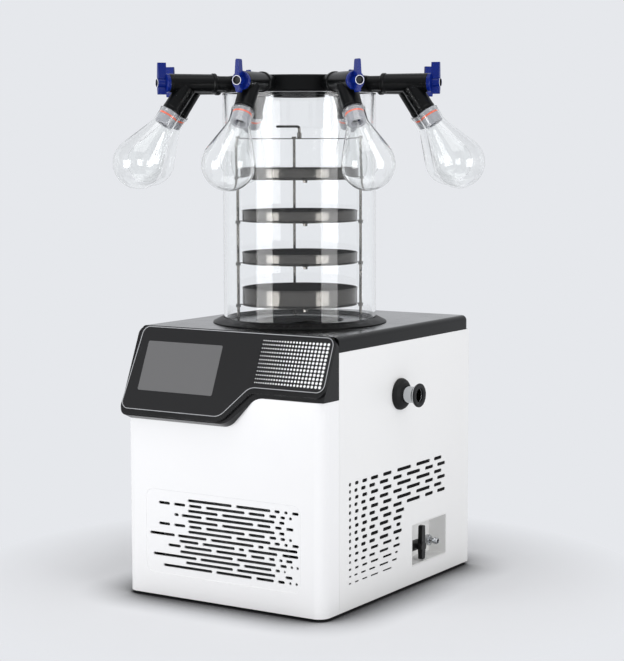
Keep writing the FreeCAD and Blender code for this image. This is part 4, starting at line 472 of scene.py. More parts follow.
def refine(node, finish, width=0.4, body="cabinet"):
    """Show a CAD node as a watertight copy with eased edges."""
    shape = opened(frame["nodes"][node].data)
    bmesh.ops.remove_doubles(shape, verts=shape.verts, dist=3e-6)
    bmesh.ops.dissolve_limit(shape, angle_limit=radians(0.4), verts=shape.verts,
                             edges=shape.edges)
    mesh = as_mesh(shape)
    mesh.materials.clear()
    if width:
        mesh = finished(mesh, *eased(width))
    show(node + "_form", mesh, finish, (node,), body)

# %% [markdown]
# ## Turned parts
# Much of the machine is round: trays, flanges, valves and flasks. Each is an outline of
# (radius, height) points turned about an axis. A third number rounds that corner.

# %% Turning an outline
ALMOST_HALF = 0.499


def bend(point, before, after, radius):
    """How far an arc reaches along both sides of a corner, and the two sides.

    Neighbouring arcs never meet, because each stays within its half of a side."""
    before, after = before - point, after - point
    reach = min(radius / tan(before.angle(after) / 2), before.length * ALMOST_HALF,
                after.length * ALMOST_HALF)
    return reach, before, after


def rounded(points, steps=5):
    """The outline with its marked corners replaced by arcs; values in millimetres."""
    result = []
    for index, point in enumerate(points):
        here = Vector(point[:2])
        if len(point) < 3:
            result.append(here)
            continue
        reach, before, after = bend(here, Vector(points[index - 1][:2]),
                                    Vector(points[(index + 1) % len(points)][:2]), point[2])
        half = before.angle(after) / 2
        inward = (before.normalized() + after.normalized()).normalized()
        middle = here + inward * (reach * tan(half)) / sin(half)
        start = here + before.normalized() * reach - middle
        end = here + after.normalized() * reach - middle
        sweep = start.angle_signed(end)
        for step in range(steps + 1):
            result.append(middle + Matrix.Rotation(-sweep * step / steps, 2) @ start)
    return result


def circle(radius, segments):
    """Points of a circle round the origin."""
    angles = [2 * pi * k / segments for k in range(segments)]
    return [(radius * cos(angle), radius * sin(angle)) for angle in angles]


def turn(points, segments=96, steps=5):
    """Turn a closed outline about Z; a corner on the axis becomes a pole."""
    shape = bmesh.new()
    rings = []
    for radius, height in rounded(points, steps):
        spots = circle(radius * MM, segments) if radius >= 1e-4 else [(0, 0)]
        rings.append([shape.verts.new((x, y, height * MM)) for x, y in spots])
    for ring, after in zip(rings, rings[1:] + rings[:1]):
        for k in range(segments):
            beside = (k + 1) % segments
            corners = list(dict.fromkeys([ring[k % len(ring)], ring[beside % len(ring)],
                                          after[beside % len(after)], after[k % len(after)]]))
            if len(corners) > 2:
                shape.faces.new(corners)
    bmesh.ops.remove_doubles(shape, verts=shape.verts, dist=1e-7)
    bmesh.ops.recalc_face_normals(shape, faces=shape.faces)
    return as_mesh(shape)


def placed(mesh, *matrices):
    """Move a mesh by matrices, the last one first."""
    place = Matrix.Identity(4)
    for matrix in matrices:
        place = place @ matrix
    mesh.transform(place)
    return mesh


def joined(*meshes):
    """One mesh from several."""
    return as_mesh(opened(*meshes))


print("turning helper ready")


# %% [markdown]
# ## Round and round: a ring of copies
# Eight ports repeat at equal angles. The part at port one is made once, and this tree sets
# copies of it round the chamber's axis.

# %% Geometry Nodes tree for a ring of copies
def growth_tree(name, inputs):
    """A Geometry Nodes tree that is given a mesh and a material, besides its own inputs."""
    return new_tree(name, "GeometryNodeTree", {"Geometry": "Geometry", **inputs,
                    "Material": "Material"}, {"Geometry": "Geometry"})


def set_on(tree, points, piece, sockets=None):
    """Set a piece on points and make the copies real."""
    copies = wire(tree, "GeometryNodeInstanceOnPoints", {"Points": points, "Instance": piece,
                  **(sockets or {})})
    return wire(tree, "GeometryNodeRealizeInstances", {0: copies})


def coat(tree, given, result, geometry):
    """Give the geometry its material and put it out."""
    fill(result, {"Geometry": wire(tree, "GeometryNodeSetMaterial", {
         "Geometry": geometry, "Material": given["Material"]})})


RING, given, result = growth_tree("ring_of_copies", {"Count": 8, "Step": pi / 4, "Start": 0.0})
points = wire(RING, "GeometryNodePoints", {"Count": given["Count"], "Position": (0, 0, 0)})
angle = maths(RING, "MULTIPLY_ADD", wire(RING, "GeometryNodeInputIndex"), given["Step"],
              given["Start"])
copies = set_on(RING, points, given["Geometry"], {"Rotation": vector(RING, 0, 0, angle)})
coat(RING, given, result, copies)
print("tree", RING.name)

# %% [markdown]
# ## Slotted sheets
# The front and both sides are sheets with fields of round-ended slots. The slots differ in
# length, so each is a point that carries its own span. The tree sets a rectangle on every
# point, stretches it to its span, rounds its ends, and fills the sheet round the holes.

# %% Geometry Nodes tree for a slotted sheet
SLOTTED, given, result = growth_tree("slotted_sheet", {"Slot Height": 0.0045, "End Steps": 5})
span, part = (wire(SLOTTED, "GeometryNodeInputNamedAttribute", {"Name": name},
                   data_type="FLOAT").outputs["Attribute"] for name in ("span", "part"))
outline = wire(SLOTTED, "GeometryNodeMeshToCurve", {"Mesh": given["Geometry"]})
tall = maths(SLOTTED, "MULTIPLY", part, given["Slot Height"])
is_slot = wire(SLOTTED, "FunctionNodeCompare", {0: span, 1: 0.0}, data_type="FLOAT",
               operation="GREATER_THAN")
points = wire(SLOTTED, "GeometryNodeMeshToPoints", {"Mesh": given["Geometry"],
              "Selection": is_slot})
blank = wire(SLOTTED, "GeometryNodeCurvePrimitiveQuadrilateral", {"Width": 1.0, "Height": 1.0})
slots = set_on(SLOTTED, points, blank, {"Scale": vector(SLOTTED, span, tall, 1)})
ends = wire(SLOTTED, "GeometryNodeFilletCurve", {"Curve": slots, "Count": given["End Steps"],
            "Radius": maths(SLOTTED, "MULTIPLY", tall, ALMOST_HALF)}, mode="POLY")
together = wire(SLOTTED, "GeometryNodeJoinGeometry", {0: outline})
fill(together, {0: ends})
filled = wire(SLOTTED, "GeometryNodeFillCurve", {"Curve": together}, mode="NGONS")
plain = wire(SLOTTED, "GeometryNodeRealizeInstances", {0: filled})
coat(SLOTTED, given, result, plain)


def slotted_sheet(loops, slots, slot_height, finish):
    """Fill outline loops round slots, all in millimetres in the XY plane.

    A slot is (left, right, middle height, part of the slot height)."""
    shape = bmesh.new()
    span = shape.verts.layers.float.new("span")
    part = shape.verts.layers.float.new("part")
    for loop in loops:
        corners = [shape.verts.new((x * MM, y * MM, 0)) for x, y in loop]
        for here, after in zip(corners, corners[1:] + corners[:1]):
            shape.edges.new((here, after))
    for left, right, middle, share in slots:
        point = shape.verts.new(((left + right) / 2 * MM, middle * MM, 0))
        point[span], point[part] = (right - left) * MM, share
    return grown(as_mesh(shape), SLOTTED, finish, Slot_Height=slot_height * MM)


print("tree", SLOTTED.name)


# %% [markdown]
# ### Sunk fields
# The slots lie in a field that is pressed a little below the face. Its brim is one loop and
# its bed another, moved inwards by the width of the slope between them.

# %% A field pressed below the face
def inset(corners, amount):
    """Corners of a counter-clockwise loop moved inwards, their arcs kept concentric."""
    result = []
    for index, (x, y, radius) in enumerate(corners):
        here = Vector((x, y))
        enter = (here - Vector(corners[index - 1][:2])).normalized()
        leave = (Vector(corners[(index + 1) % len(corners)][:2]) - here).normalized()
        inward = Vector((-enter.y, enter.x))
        middle = (inward + Vector((-leave.y, leave.x))).normalized()
        place = here + middle * amount / middle.dot(inward)
        convex = enter.x * leave.y > enter.y * leave.x
        result.append((place.x, place.y, radius - amount if convex else radius + amount))
    return result


def is_within(x, y, loop):
    within = False
    for (ax, ay), (bx, by) in zip(loop, loop[1:] + loop[:1]):
        if (ay > y) != (by > y) and x < (bx - ax) * (y - ay) / (by - ay) + ax:
            within = not within
    return within


def pressed_sheet(outline, field, slope, depth, steps, holes, slots, slot_height, finish):
    """A slotted sheet with a field pressed below its face, down a slope of the given width."""
    brim, bed = rounded(field, steps), rounded(inset(field, slope), steps)
    shape = opened(slotted_sheet([outline, brim, bed, *holes], slots, slot_height, finish))
    between = [((a[0] + b[0]) / 2, (a[1] + b[1]) / 2) for a, b in zip(brim, bed)]
    for vertex in shape.verts:
        if is_within(vertex.co.x / MM, vertex.co.y / MM, between):
            vertex.co.z = -depth * MM
    shape.verts.ensure_lookup_table()
    tree = KDTree(len(shape.verts))
    for index, vertex in enumerate(shape.verts):
        tree.insert(vertex.co, index)
    tree.balance()

    def nearest(loop, level):
        return [shape.verts[tree.find((x * MM, y * MM, level * MM))[1]] for x, y in loop]
    upper, lower = nearest(brim, 0), nearest(bed, -depth)
    for k in range(len(upper)):
        after = (k + 1) % len(upper)
        shape.faces.new((upper[k], upper[after], lower[after], lower[k]))
    return shape


def thickened(shape, outward, thickness, ease, **settings):
    """Turn a sheet's face outwards and give it its thickness and eased edges."""
    widest = max(shape.faces, key=lambda face: face.calc_area())
    if widest.normal.dot(outward) < 0:
        bmesh.ops.reverse_faces(shape, faces=shape.faces)
    return finished(as_mesh(shape), ("SOLIDIFY", {"thickness": thickness * MM, "offset": -1,
                                                  **settings}), *eased(ease))


print("field helpers ready")

# %% [markdown]
# ### The front moulding
# The front is one moulding: a flat face, two round upright corners and short returns. It is
# drawn flat, as the skin would be if it were peeled off, then bent round the corners. Its
# top edge steps up under the control housing in an S. The fourteen rows of slots are cut to
# different lengths, so that the field looks woven.

# %% Front moulding
(_, FRONT_Y, _), (HALF_WIDTH, back, FRONT_TOP) = corners_of("front_moulding")
CORNER = 20
FLAT_HALF = HALF_WIDTH - CORNER
TURNED = CORNER * pi / 2
PEELED = FLAT_HALF + TURNED + back - FRONT_Y - CORNER
# The control housing above leans back by this angle.
LEAN = radians(23)
STEP_DOWN = 47 / cos(LEAN)
FIELD = [(-155, 42, 16), (154, 42, 16), (154, 185, 16), (-155, 185, 16)]
FIELD_DEPTH = 0.8
TOP_ROW, ROW_PITCH, SLOT_HEIGHT = 171.25, 8.79, 4.9

WOVEN = [(-129, -105.5), (-97.5, -74), (-67, -40.5), (-32.5, 45.5), (52.5, 85), (93, 107),
         (114.5, 124), (131, 137)]
STEPPED = [(-69, 20), (28, 96), (103, 114), (122, 129), (137, 150)]
BROAD = [(-69, -8), (0, 104), (112, 123)]
FRONT_ROWS = [
    STEPPED, WOVEN, BROAD,
    [(-97, -87.5), (-82, -40.5), (-33, 62.5), (69.5, 96), (104, 117.5), (125.5, 140)],
    BROAD, WOVEN, STEPPED,
    [(-148, -96), (-90, -31), (-23, 63), (71, 82.5), (90.5, 147.5)],
    [(-87, -47.5), (-40, 25.5), (33, 44), (51.5, 109), (118, 149)],
    [(-110, -84), (-77, -20.5), (-12.5, 49), (57, 84.5), (92, 104), (112, 119), (125, 138)],
    [(-86, 21.5), (29, 106), (114, 127), (134, 139), (145, 150)],
    [(-141, -51.5), (-44.5, 35.5), (43, 97.5), (105, 114), (121, 125)],
    [(-74, 21.5), (29, 105), (124, 138)],
    [(-120, -20), (-12.5, 59), (67, 102), (109.5, 123), (131, 136), (143, 148)],
]
front_slots = [(left, right, TOP_ROW - ROW_PITCH * row, 1.0)
               for row, spans in enumerate(FRONT_ROWS) for left, right in spans]


def bent(point):
    """Where a point of the peeled skin lies on the moulding; z is depth below the skin."""
    along, height, depth = point.x / MM, point.y, -point.z / MM
    side, reach = (1 if along > 0 else -1), abs(along)
    if reach <= FLAT_HALF:
        x, y = reach, FRONT_Y + depth
    elif reach <= FLAT_HALF + TURNED:
        angle = (reach - FLAT_HALF) / CORNER
        x = FLAT_HALF + (CORNER - depth) * sin(angle)
        y = FRONT_Y + CORNER - (CORNER - depth) * cos(angle)
    else:
        x, y = HALF_WIDTH - depth, FRONT_Y + CORNER + reach - FLAT_HALF - TURNED
    return Vector((side * x * MM, y * MM, height))


def make_front():
    low, high = FRONT_TOP - STEP_DOWN, FRONT_TOP
    skin = [(-PEELED, 5), (PEELED, 5), (PEELED, high), (68.7, high, 34), (20, low, 34),
            (-PEELED, low)]
    shape = pressed_sheet(rounded(skin, 10), FIELD, FIELD_DEPTH, FIELD_DEPTH, 10, [],
                          front_slots, SLOT_HEIGHT, "white_moulding")
    for side in (-1, 1):
        for step in range(13):
            cut = side * (FLAT_HALF + TURNED * step / 12) * MM
            bmesh.ops.bisect_plane(shape, geom=shape.verts[:] + shape.edges[:] + shape.faces[:],
                                   plane_co=(cut, 0, 0), plane_no=(1, 0, 0), dist=1e-7)
    for vertex in shape.verts:
        vertex.co = bent(vertex.co)
    bmesh.ops.remove_doubles(shape, verts=shape.verts, dist=1e-6)
    bmesh.ops.recalc_face_normals(shape, faces=shape.faces)
    return thickened(shape, Vector((0, -1, 0)), 3, 0.3, use_even_offset=True)


show("front_shell", make_front(), "white_moulding", ("front_moulding",))

# %% [markdown]
# ### The side panels
# The slots of the sides stand in an L: a tall block near the front and a wide one above the
# niche, both in a shallow pressed field. The lowest rows grow thinner. Both sides are the same
# pressing; only the right one is cut for the niche and the port.

# %% Side panels
SHORT_ROW = [(0, 8), (19.5, 31.25), (42.5, 58.75), (70, 94.5), (110, 138.75)]
LONG_ROW = [(0.75, 7.5), (17.5, 28), (38.75, 53.75), (65, 84.25), (98.75, 128)]
SHORT_REST = [(157, 205), (223, 271.75), (286.25, 313.75)]
LONG_REST = [(143.75, 173.75), (190, 237), (254.25, 283.25), (298, 327)]
LAST_SLOTS = [SHORT_REST, LONG_REST] * 3 + [
    [(152.5, 181.75)], [(144.25, 173.75)], [(154.5, 169.5)], [(144.25, 173.75)],
    [(150.75, 164.25)], [(144.25, 167.5)], [(150.75, 160)], [(140.5, 157)], []]
ROW_PARTS = [1] * 10 + [0.83, 0.75, 0.63, 0.53, 0.42]
VENT_FRONT, VENT_TOP, VENT_PITCH, VENT_HEIGHT = -160, 210.75, 11.65, 6.0
PRESSED = [(-168, 37.75, 8), (-8, 37.75, 8), (24, 116.75, 30), (46, 145.75, 16),
           (179, 145.75, 5), (179, 216.75, 8), (-168, 216.75, 8)]
NICHE_GAP, PORT_HOLE, PANEL = 0.2, 14.6, 1.2
side_slots = []
for row, (rest, share) in enumerate(zip(LAST_SLOTS, ROW_PARTS)):
    for start, end in (LONG_ROW if row % 2 else SHORT_ROW) + rest:
        side_slots.append((VENT_FRONT + start, VENT_FRONT + end, VENT_TOP - VENT_PITCH * row,
                           share))


def middle_of(node):
    """The middle of a node's box in Y and Z."""
    (_, front, foot), (_, back, top) = corners_of(node)
    return (front + back) / 2, (foot + top) / 2


def oblong(left, below, right, above, radius, steps):
    return rounded([(left, below, radius), (right, below, radius), (right, above, radius),
                    (left, above, radius)], steps)


niche_low, niche_high = corners_of("drain_niche")
VACUUM_Y, VACUUM_Z = middle_of("vacuum_port_boot")


def make_side(side):
    low, high = corners_of("side_panel_right" if side > 0 else "side_panel_left")
    holes = []
    if side > 0:
        holes.append(oblong(niche_low[1] - NICHE_GAP, niche_low[2] - NICHE_GAP,
                            niche_high[1] + NICHE_GAP, niche_high[2] + NICHE_GAP, 3, 4))
        holes.append([(VACUUM_Y + y, VACUUM_Z + z) for y, z in circle(PORT_HOLE, 48)])
    shape = pressed_sheet(oblong(low[1], low[2], high[1], high[2], 1.5, 3), PRESSED, 1.2, 0.5, 8,
                          holes, side_slots, VENT_HEIGHT, "white_panel")
    bmesh.ops.recalc_face_normals(shape, faces=shape.faces)
    skin = (high[0] if side > 0 else low[0]) * MM
    for vertex in shape.verts:
        vertex.co = Vector((skin + side * vertex.co.z, vertex.co.x, vertex.co.y))
    shape.normal_update()
    return thickened(shape, Vector((side, 0, 0)), PANEL, 0.25)


show("right_skin", make_side(1), "white_panel", ("side_panel_right",))
show("left_skin", make_side(-1), "white_panel", ("side_panel_left",))
# The black pads behind the slots paint the shade inside the cabinet, so the slots read dark.
refine("vent_filters", "filter_black", 0)

# %% [markdown]
# ### Cover, pan, rear panel and feet
# These keep the solid's own form. A merged copy gets eased edges, because no folded or
# moulded edge is a perfect knife edge, and the highlight along it is what shows its size.

# %% Cabinet shell
refine("top_cover", "dark_cover", 0.5)
refine("base_pan", "pan_steel", 0.4)
refine("rear_panel", "white_panel", 0.25)
refine("feet", "rubber_black", 0.5)

# %% [markdown]
# ### Screws of the rear panel
# Sheet panels like this one are held by pan-head screws. One screw is turned and cut with a
# cross, and a tree sets it on every screw point of a plain mesh of points.

# %% Screws on the rear panel
SCATTER, given, result = growth_tree("set_on_points", {"Piece": "Object", "Spin": 0.0, "Seed": 7})
points = wire(SCATTER, "GeometryNodeMeshToPoints", {"Mesh": given["Geometry"]})
piece = wire(SCATTER, "GeometryNodeObjectInfo", {"Object": given["Piece"]}).outputs["Geometry"]
chance = wire(SCATTER, "FunctionNodeRandomValue", {2: 0.0, 3: given["Spin"],
              "Seed": given["Seed"]}, data_type="FLOAT").outputs[1]
coat(SCATTER, given, result, set_on(SCATTER, points, piece,
                                    {"Rotation": vector(SCATTER, 0, chance)}))


def scattered(points, mesh, finish, spin=0.0):
    """Set copies of a mesh on points, each spun about Y by a chance angle."""
    places = bpy.data.meshes.new("places")
    places.from_pydata([tuple(c * MM for c in point) for point in points], [], [])
    holder = add_object("holder", mesh)
    result = grown(places, SCATTER, finish, Piece=holder, Spin=spin)
    bpy.data.objects.remove(holder)
    return result


def carved(mesh, *cuts):
    """Join meshes to a mesh, or take them from it: cuts are (operation, mesh)."""
    steps = [("BOOLEAN", {"operation": operation, "object": add_object("tool", other),
                          "solver": "EXACT"}) for operation, other in cuts]
    result = finished(mesh, *steps)
    for _, settings in steps:
        bpy.data.objects.remove(settings["object"])
    return result


def block(low, high):
    """A plain box between two corners in millimetres, for cutting or as a base."""
    shape = bmesh.new()
    bmesh.ops.create_cube(shape, size=1)
    bmesh.ops.scale(shape, vec=[(b - a) * MM for a, b in zip(low, high)], verts=shape.verts)
    bmesh.ops.translate(shape, vec=[(a + b) / 2 * MM for a, b in zip(low, high)],
                        verts=shape.verts)
    return as_mesh(shape)


REAR_Y = corners_of("rear_panel")[1][1]
head = turn([(0, 0), (3.4, 0), (3.4, 0.7, 0.5), (2.2, 1.9, 0.9), (0, 2.1)], 32, 4)
cross = joined(block((-2.0, -0.35, 1.0), (2.0, 0.35, 3)), block((-0.35, -2.0, 1.0), (0.35, 2.0, 3)))
screw = placed(carved(head, ("DIFFERENCE", cross)), about("X", -pi / 2))
screw_points = [(x, REAR_Y, z) for x in (-183, 0, 183) for z in (18, 150, 285, 415)
                if x or z in (18, 415)]
show("rear_screws", scattered(screw_points, screw, "nozzle_chrome", 1.5), "nozzle_chrome")

# %% [markdown]
# ### Control housing
# The housing leans back by 23 degrees. A black rim carries a bright bead, and within the bead
# lies the smoked fascia with the touch screen. White printed dots grow towards the right in
# twelve rows: the column pitch and the dot size both rise evenly, so one tree makes them all.

# %% Housing, bead, fascia and screen
refine("control_housing", "housing_black", 0.6)
refine("fascia_bead", "bead_bright", 0.25)
refine("fascia_panel", "fascia_smoke", 0.2)
refine("touch_screen", "screen", 0.3)

SLOPE = at(0, -241, 352.8) @ about("X", pi / 2 - LEAN)
DOTS_LEFT, DOTS_LOW, PRINT_LIFT = 62, 26, 0.03


def height_on_slope(node):
    """How far a node stands out of the sloping plane, in millimetres."""
    away = SLOPE.inverted()
    return max((away @ vertex.co).z for vertex in frame["nodes"][node].data.vertices) / MM


DOTS, given, result = growth_tree("growing_dots", {
    "Columns": 23, "Rows": 12, "First Pitch": 0.0039, "Last Pitch": 0.0073, "Row Pitch": 0.00645,
    "First Radius": 0.0009, "Last Radius": 0.00255, "Thickness": 0.0001})


def reckon(operation, *values):
    """Reckon in the tree of dots; a text stands for the input of that name."""
    return maths(DOTS, operation, *(given[v] if isinstance(v, str) else v for v in values))


index = wire(DOTS, "GeometryNodeInputIndex")
column = reckon("MODULO", index, "Columns")
row = reckon("FLOOR", reckon("DIVIDE", index, "Columns"))
gain = reckon("DIVIDE", reckon("SUBTRACT", "Last Pitch", "First Pitch"),
              reckon("SUBTRACT", "Columns", 2.0))
pairs = reckon("MULTIPLY", reckon("MULTIPLY", column, reckon("SUBTRACT", column, 1.0)), 0.5)
along = reckon("ADD", reckon("MULTIPLY", column, "First Pitch"), reckon("MULTIPLY", pairs, gain))
share = reckon("DIVIDE", column, reckon("SUBTRACT", "Columns", 1.0))
growth = reckon("SUBTRACT", "Last Radius", "First Radius")
radius = reckon("ADD", reckon("MULTIPLY", share, growth), "First Radius")
points = wire(DOTS, "GeometryNodePoints", {
    "Count": reckon("MULTIPLY", "Columns", "Rows"),
    "Position": vector(DOTS, along, reckon("MULTIPLY", row, "Row Pitch"))})
dot = wire(DOTS, "GeometryNodeMeshCylinder", {"Vertices": 24, "Radius": 1.0, "Depth": 1.0})
coat(DOTS, given, result, set_on(DOTS, points, dot, {
    "Scale": vector(DOTS, radius, radius, given["Thickness"])}))

dots = placed(grown(bpy.data.meshes.new("seed"), DOTS, "white_moulding"), SLOPE,
              at(DOTS_LEFT, DOTS_LOW, height_on_slope("fascia_panel") + PRINT_LIFT))
show("fascia_dots", dots, "white_moulding")

# %% [markdown]
# ### Drain niche
# The niche is a folded white box. The drain valve's black lever stands upright in it, and
# behind the lever sits a chrome hose nozzle with two hexagonal nuts.

# %% Drain niche
refine("drain_niche", "niche_white", 0.5)
refine("drain_valve_body", "lever_black", 0.5)
refine("drain_lever", "lever_black", 1.2, body="drain_lever_body")
refine("drain_hose", "hose_grey", 0)
(start, *_), (tip, *_) = corners_of("drain_nozzle")
NOZZLE_Y, NOZZLE_Z = middle_of("drain_nozzle")
BACK = niche_low[0] + 2
tube = turn([(3.5, start), (5.5, start, 0.5), (5.5, BACK + 20), (4.6, BACK + 22, 0.4),
             (4.6, tip - 9, 0.3), (6.2, tip - 6, 0.4), (5.2, tip - 3.5, 0.3),
             (6.2, tip - 3, 0.4), (4.6, tip, 0.5), (3.5, tip, 0.4)], 48)


def hex_nut(flats, low, high, bore):
    """A hexagonal nut whose corners are turned down at both ends."""
    corner = flats / sqrt(3)
    blank = turn([(bore, low), (corner, low, 0.3), (corner, high, 0.3), (bore, high)], 6)
    ease = (corner - flats / 2) * 1.15
    coin = turn([(0, low), (corner - ease, low), (corner + 0.05, low + ease * 0.6),
                 (corner + 0.05, high - ease * 0.6), (corner - ease, high), (0, high)], 48)
    return carved(blank, ("INTERSECT", coin))


nuts = joined(hex_nut(19, BACK, BACK + 5, 5.4), hex_nut(17, BACK + 10, BACK + 18, 5.4))
bezel = turn([(5.4, BACK + 5), (8.2, BACK + 5, 0.3), (7.6, BACK + 10, 0.4), (5.4, BACK + 10)], 48)
nozzle = placed(joined(tube, nuts, bezel), at(0, NOZZLE_Y, NOZZLE_Z), about("Y", pi / 2))
show("drain_nozzle_form", nozzle, "nozzle_chrome", ("drain_nozzle",))

# %% [markdown]
# ### Vacuum port
# A stainless flange stands out of the side through a thick rubber collar. A centring ring lies
# in its mouth, ready for a hose to be clamped on.

# %% Vacuum port
refine("vacuum_port_tube", "nozzle_chrome", 0.4)
refine("vacuum_port_ring", "seal_dark", 0.4)
SIDE_X = corners_of("side_panel_right")[1][0]
collar = turn([(14.1, 0), (26.6, 0, 0.8), (26.8, 4, 2.2), (24.4, 8.4, 3), (19.2, 12.2, 2.4),
               (16.4, 12.9, 0.8), (14.1, 12.9, 0.4)])
placed(collar, at(SIDE_X, VACUUM_Y, VACUUM_Z), about("Y", pi / 2))
show("vacuum_collar", collar, "rubber_black", ("vacuum_port_boot",))

# %% [markdown]
# ### Cold trap
# Under the glossy disc hangs the cold trap, a stainless bucket in which the vapour freezes.
# A copper jacket and a foam block surround it inside the cabinet.

# %% Cold trap
refine("cold_trap_bucket", "stainless", 0.3)
refine("evaporator_jacket", "copper", 0.3)
refine("trap_insulation", "foam", 0)

# %% [markdown]
# ### Chamber
# The chamber is a length of cast acrylic tube with polished ends, on a turned black flange.
# It is turned here with many segments, because refraction shows every facet.

# %% Chamber
refine("chamber_flange", "flange_black", 0.5)
refine("trap_deck", "deck_black", 0.4)
refine("chamber_seals", "seal_dark", 0.3)
BORE_RADIUS, TUBE_RADIUS, POLISH = 126, 131, 0.6
DECK_TOP = corners_of("trap_deck")[1][2]
(_, _, low), (_, _, high) = corners_of("chamber_cylinder")
wall = turn([(BORE_RADIUS, low, POLISH), (TUBE_RADIUS, low, POLISH), (TUBE_RADIUS, high, POLISH),
             (BORE_RADIUS, high, POLISH)], 192, 3)
show("chamber_tube", wall, "acrylic", ("chamber_cylinder",))

# %% [markdown]
# ### Ports of the manifold
# Every valve turns about the axis of its port, so the joints say where the ports are. A piece
# is drawn standing on Z, laid down along the port and then turned to its place.

# %% Where the ports are
first_joint = next(joint for joint in frame["joints"] if joint["name"] == "valve_1_turn")
PORT_Z = first_joint["pos_m"][2] / MM
FIRST_TURN = atan2(first_joint["axis"][1], first_joint["axis"][0])
BRANCH_REACH, BRANCH_DROP = 198, radians(34)
ALONG_PORT = at(0, 0, PORT_Z) @ about("Y", pi / 2)
ALONG_BRANCH = at(0, 0, PORT_Z) @ at(BRANCH_REACH, 0) @ about("Y", pi - BRANCH_DROP)
port_turns = [FIRST_TURN + number * pi / 4 for number in range(8)]
print("first port at", round(degrees(FIRST_TURN), 2), "degrees, axis at", round(PORT_Z, 1), "mm")

# %% [markdown]
# ### Hub
# The hub is a heavy moulded disc with a stepped boss below it and eight nipples round it.

# %% Hub
refine("manifold_hub", "hub_black", 0.6)


# %% [markdown]
# ### Valve bodies
# A valve body is one rubber moulding: a barrel pushed on a nipple, with a branch that leans
# down and outwards. The two halves of the mould leave a fine line along both sides, so a thin
# blade is joined to barrel and branch. The bores are cut last, through everything.

# %% Valve bodies
def cylinder(radius, low, high, segments=48):
    return turn([(0, low), (radius, low), (radius, high), (0, high)], segments)


barrel = turn([(0, 151), (15.6, 151), (16.8, 152.2, 0.7), (16.8, 157, 0.7), (15.1, 158.4, 0.5),
               (15.1, 226, 0.3), (15.4, 227, 0.3), (15.4, 233, 0.8), (0, 233)], 72, 3)
branch = turn([(0, 9), (16.4, 9), (16.0, 50, 0.5), (16.6, 51.5, 0.5), (16.2, 57, 0.8), (10, 57),
               (10, 74, 0.8), (0, 74)], 72, 3)
blade = joined(placed(block((-15.35, -0.2, 159), (15.35, 0.2, 232)), ALONG_PORT),
               placed(block((-16.5, -0.2, 16), (16.5, 0.2, 51)), ALONG_BRANCH))
bore = placed(cylinder(11.35, 180.5, 234), ALONG_PORT)
mouth = placed(cylinder(6.5, 30, 75, 40), ALONG_BRANCH)
socket = placed(cylinder(12.6, 150, 176), ALONG_PORT)
valve = carved(placed(barrel, ALONG_PORT), ("UNION", placed(branch, ALONG_BRANCH)),
               ("UNION", blade), ("DIFFERENCE", bore), ("DIFFERENCE", mouth),
               ("DIFFERENCE", socket))
valve = finished(valve, *eased(0.5, 2, radians(28)))
valves = grown(valve, RING, "valve_rubber", Start=FIRST_TURN)
show("valve_forms", valves, "valve_rubber", ("valve_bodies",))

# %% [markdown]
# ### Valve handles
# Each handle is a blue plug with a long and a short paddle. A white ring lines the hole in its
# end, and a black core fills the hole to paint the shade inside it. Handles turn, so each rides
# a body of its own.

# %% Valve handles
for number, angle in enumerate(port_turns, 1):
    body = "valve_%d" % number
    spot = about("Z", angle) @ ALONG_PORT
    refine("valve_handle_%d" % number, "handle_blue", 0.7, body=body)
    ring = turn([(6.6, 252), (7.2, 252), (7.2, 253.9), (7.6, 253.9, 0.15), (7.45, 254.4, 0.2),
                 (6.75, 254.4, 0.2), (6.6, 253.9, 0.1)], 48, 3)
    show("handle_ring_%d" % number, placed(ring, spot), "white_moulding", body=body)
    # Painted shade: the black core fills the hole so that it reads dark.
    core = turn([(0, 243), (6.55, 243), (6.55, 253.4), (5.9, 253.4, 0.3), (5.3, 251.6, 0.5),
                 (0, 251.2)], 40, 3)
    show("handle_core_%d" % number, placed(core, spot), "valve_rubber", body=body)

# %% [markdown]
# ### Flasks
# A flask is blown glass, pear-shaped: a short neck flows into a round bulb. Its outline runs
# down the outside, round the bulb, and back up the inside, one wall's thickness away. The lip
# has two rolled ribs that keep the stopper's edge from chipping it.

# %% Flasks
GLASS, BULB, NECK, SHOULDER, MIDDLE, BOTTOM = 1.1, 43, 17.9, 84, 159, 202


def pear(wall, steps=30):
    """Neck, straight flank and bulb, as outline points a wall inside the outer face."""
    radius, neck, rise = BULB - wall, NECK - wall, MIDDLE - SHOULDER
    first = atan2(neck, rise) + acos(radius / hypot(neck, rise))
    arc = [first + (pi - first) * k / steps for k in range(steps)]
    return ([(neck, SHOULDER, 34)] + [(radius * sin(a), MIDDLE - radius * cos(a)) for a in arc]
            + [(0, BOTTOM - wall)])


lip = [(16.4, 57.4, 0.5), (18.6, 57.4, 0.9), (19.2, 58.4, 0.9), (18.6, 60.0, 0.6),
       (18.1, 60.6, 0.4), (18.8, 61.6, 0.6), (18.1, 63.0, 0.6), (17.9, 64)]
flask = placed(turn(lip + pear(0) + pear(GLASS)[::-1], 96, 6), ALONG_BRANCH)
for number, angle in enumerate(port_turns, 1):
    show("flask_form_%d" % number, placed(flask.copy(), about("Z", angle)), "flask_glass",
         ("flask_%d" % number,), sharp=60, even=False)

# %% [markdown]
# ### Stoppers and sealing rings
# A grey silicone sleeve closes each neck round the valve's stub. It has two fine ribs at the
# top, then a groove with an orange ring, then a plain skirt.

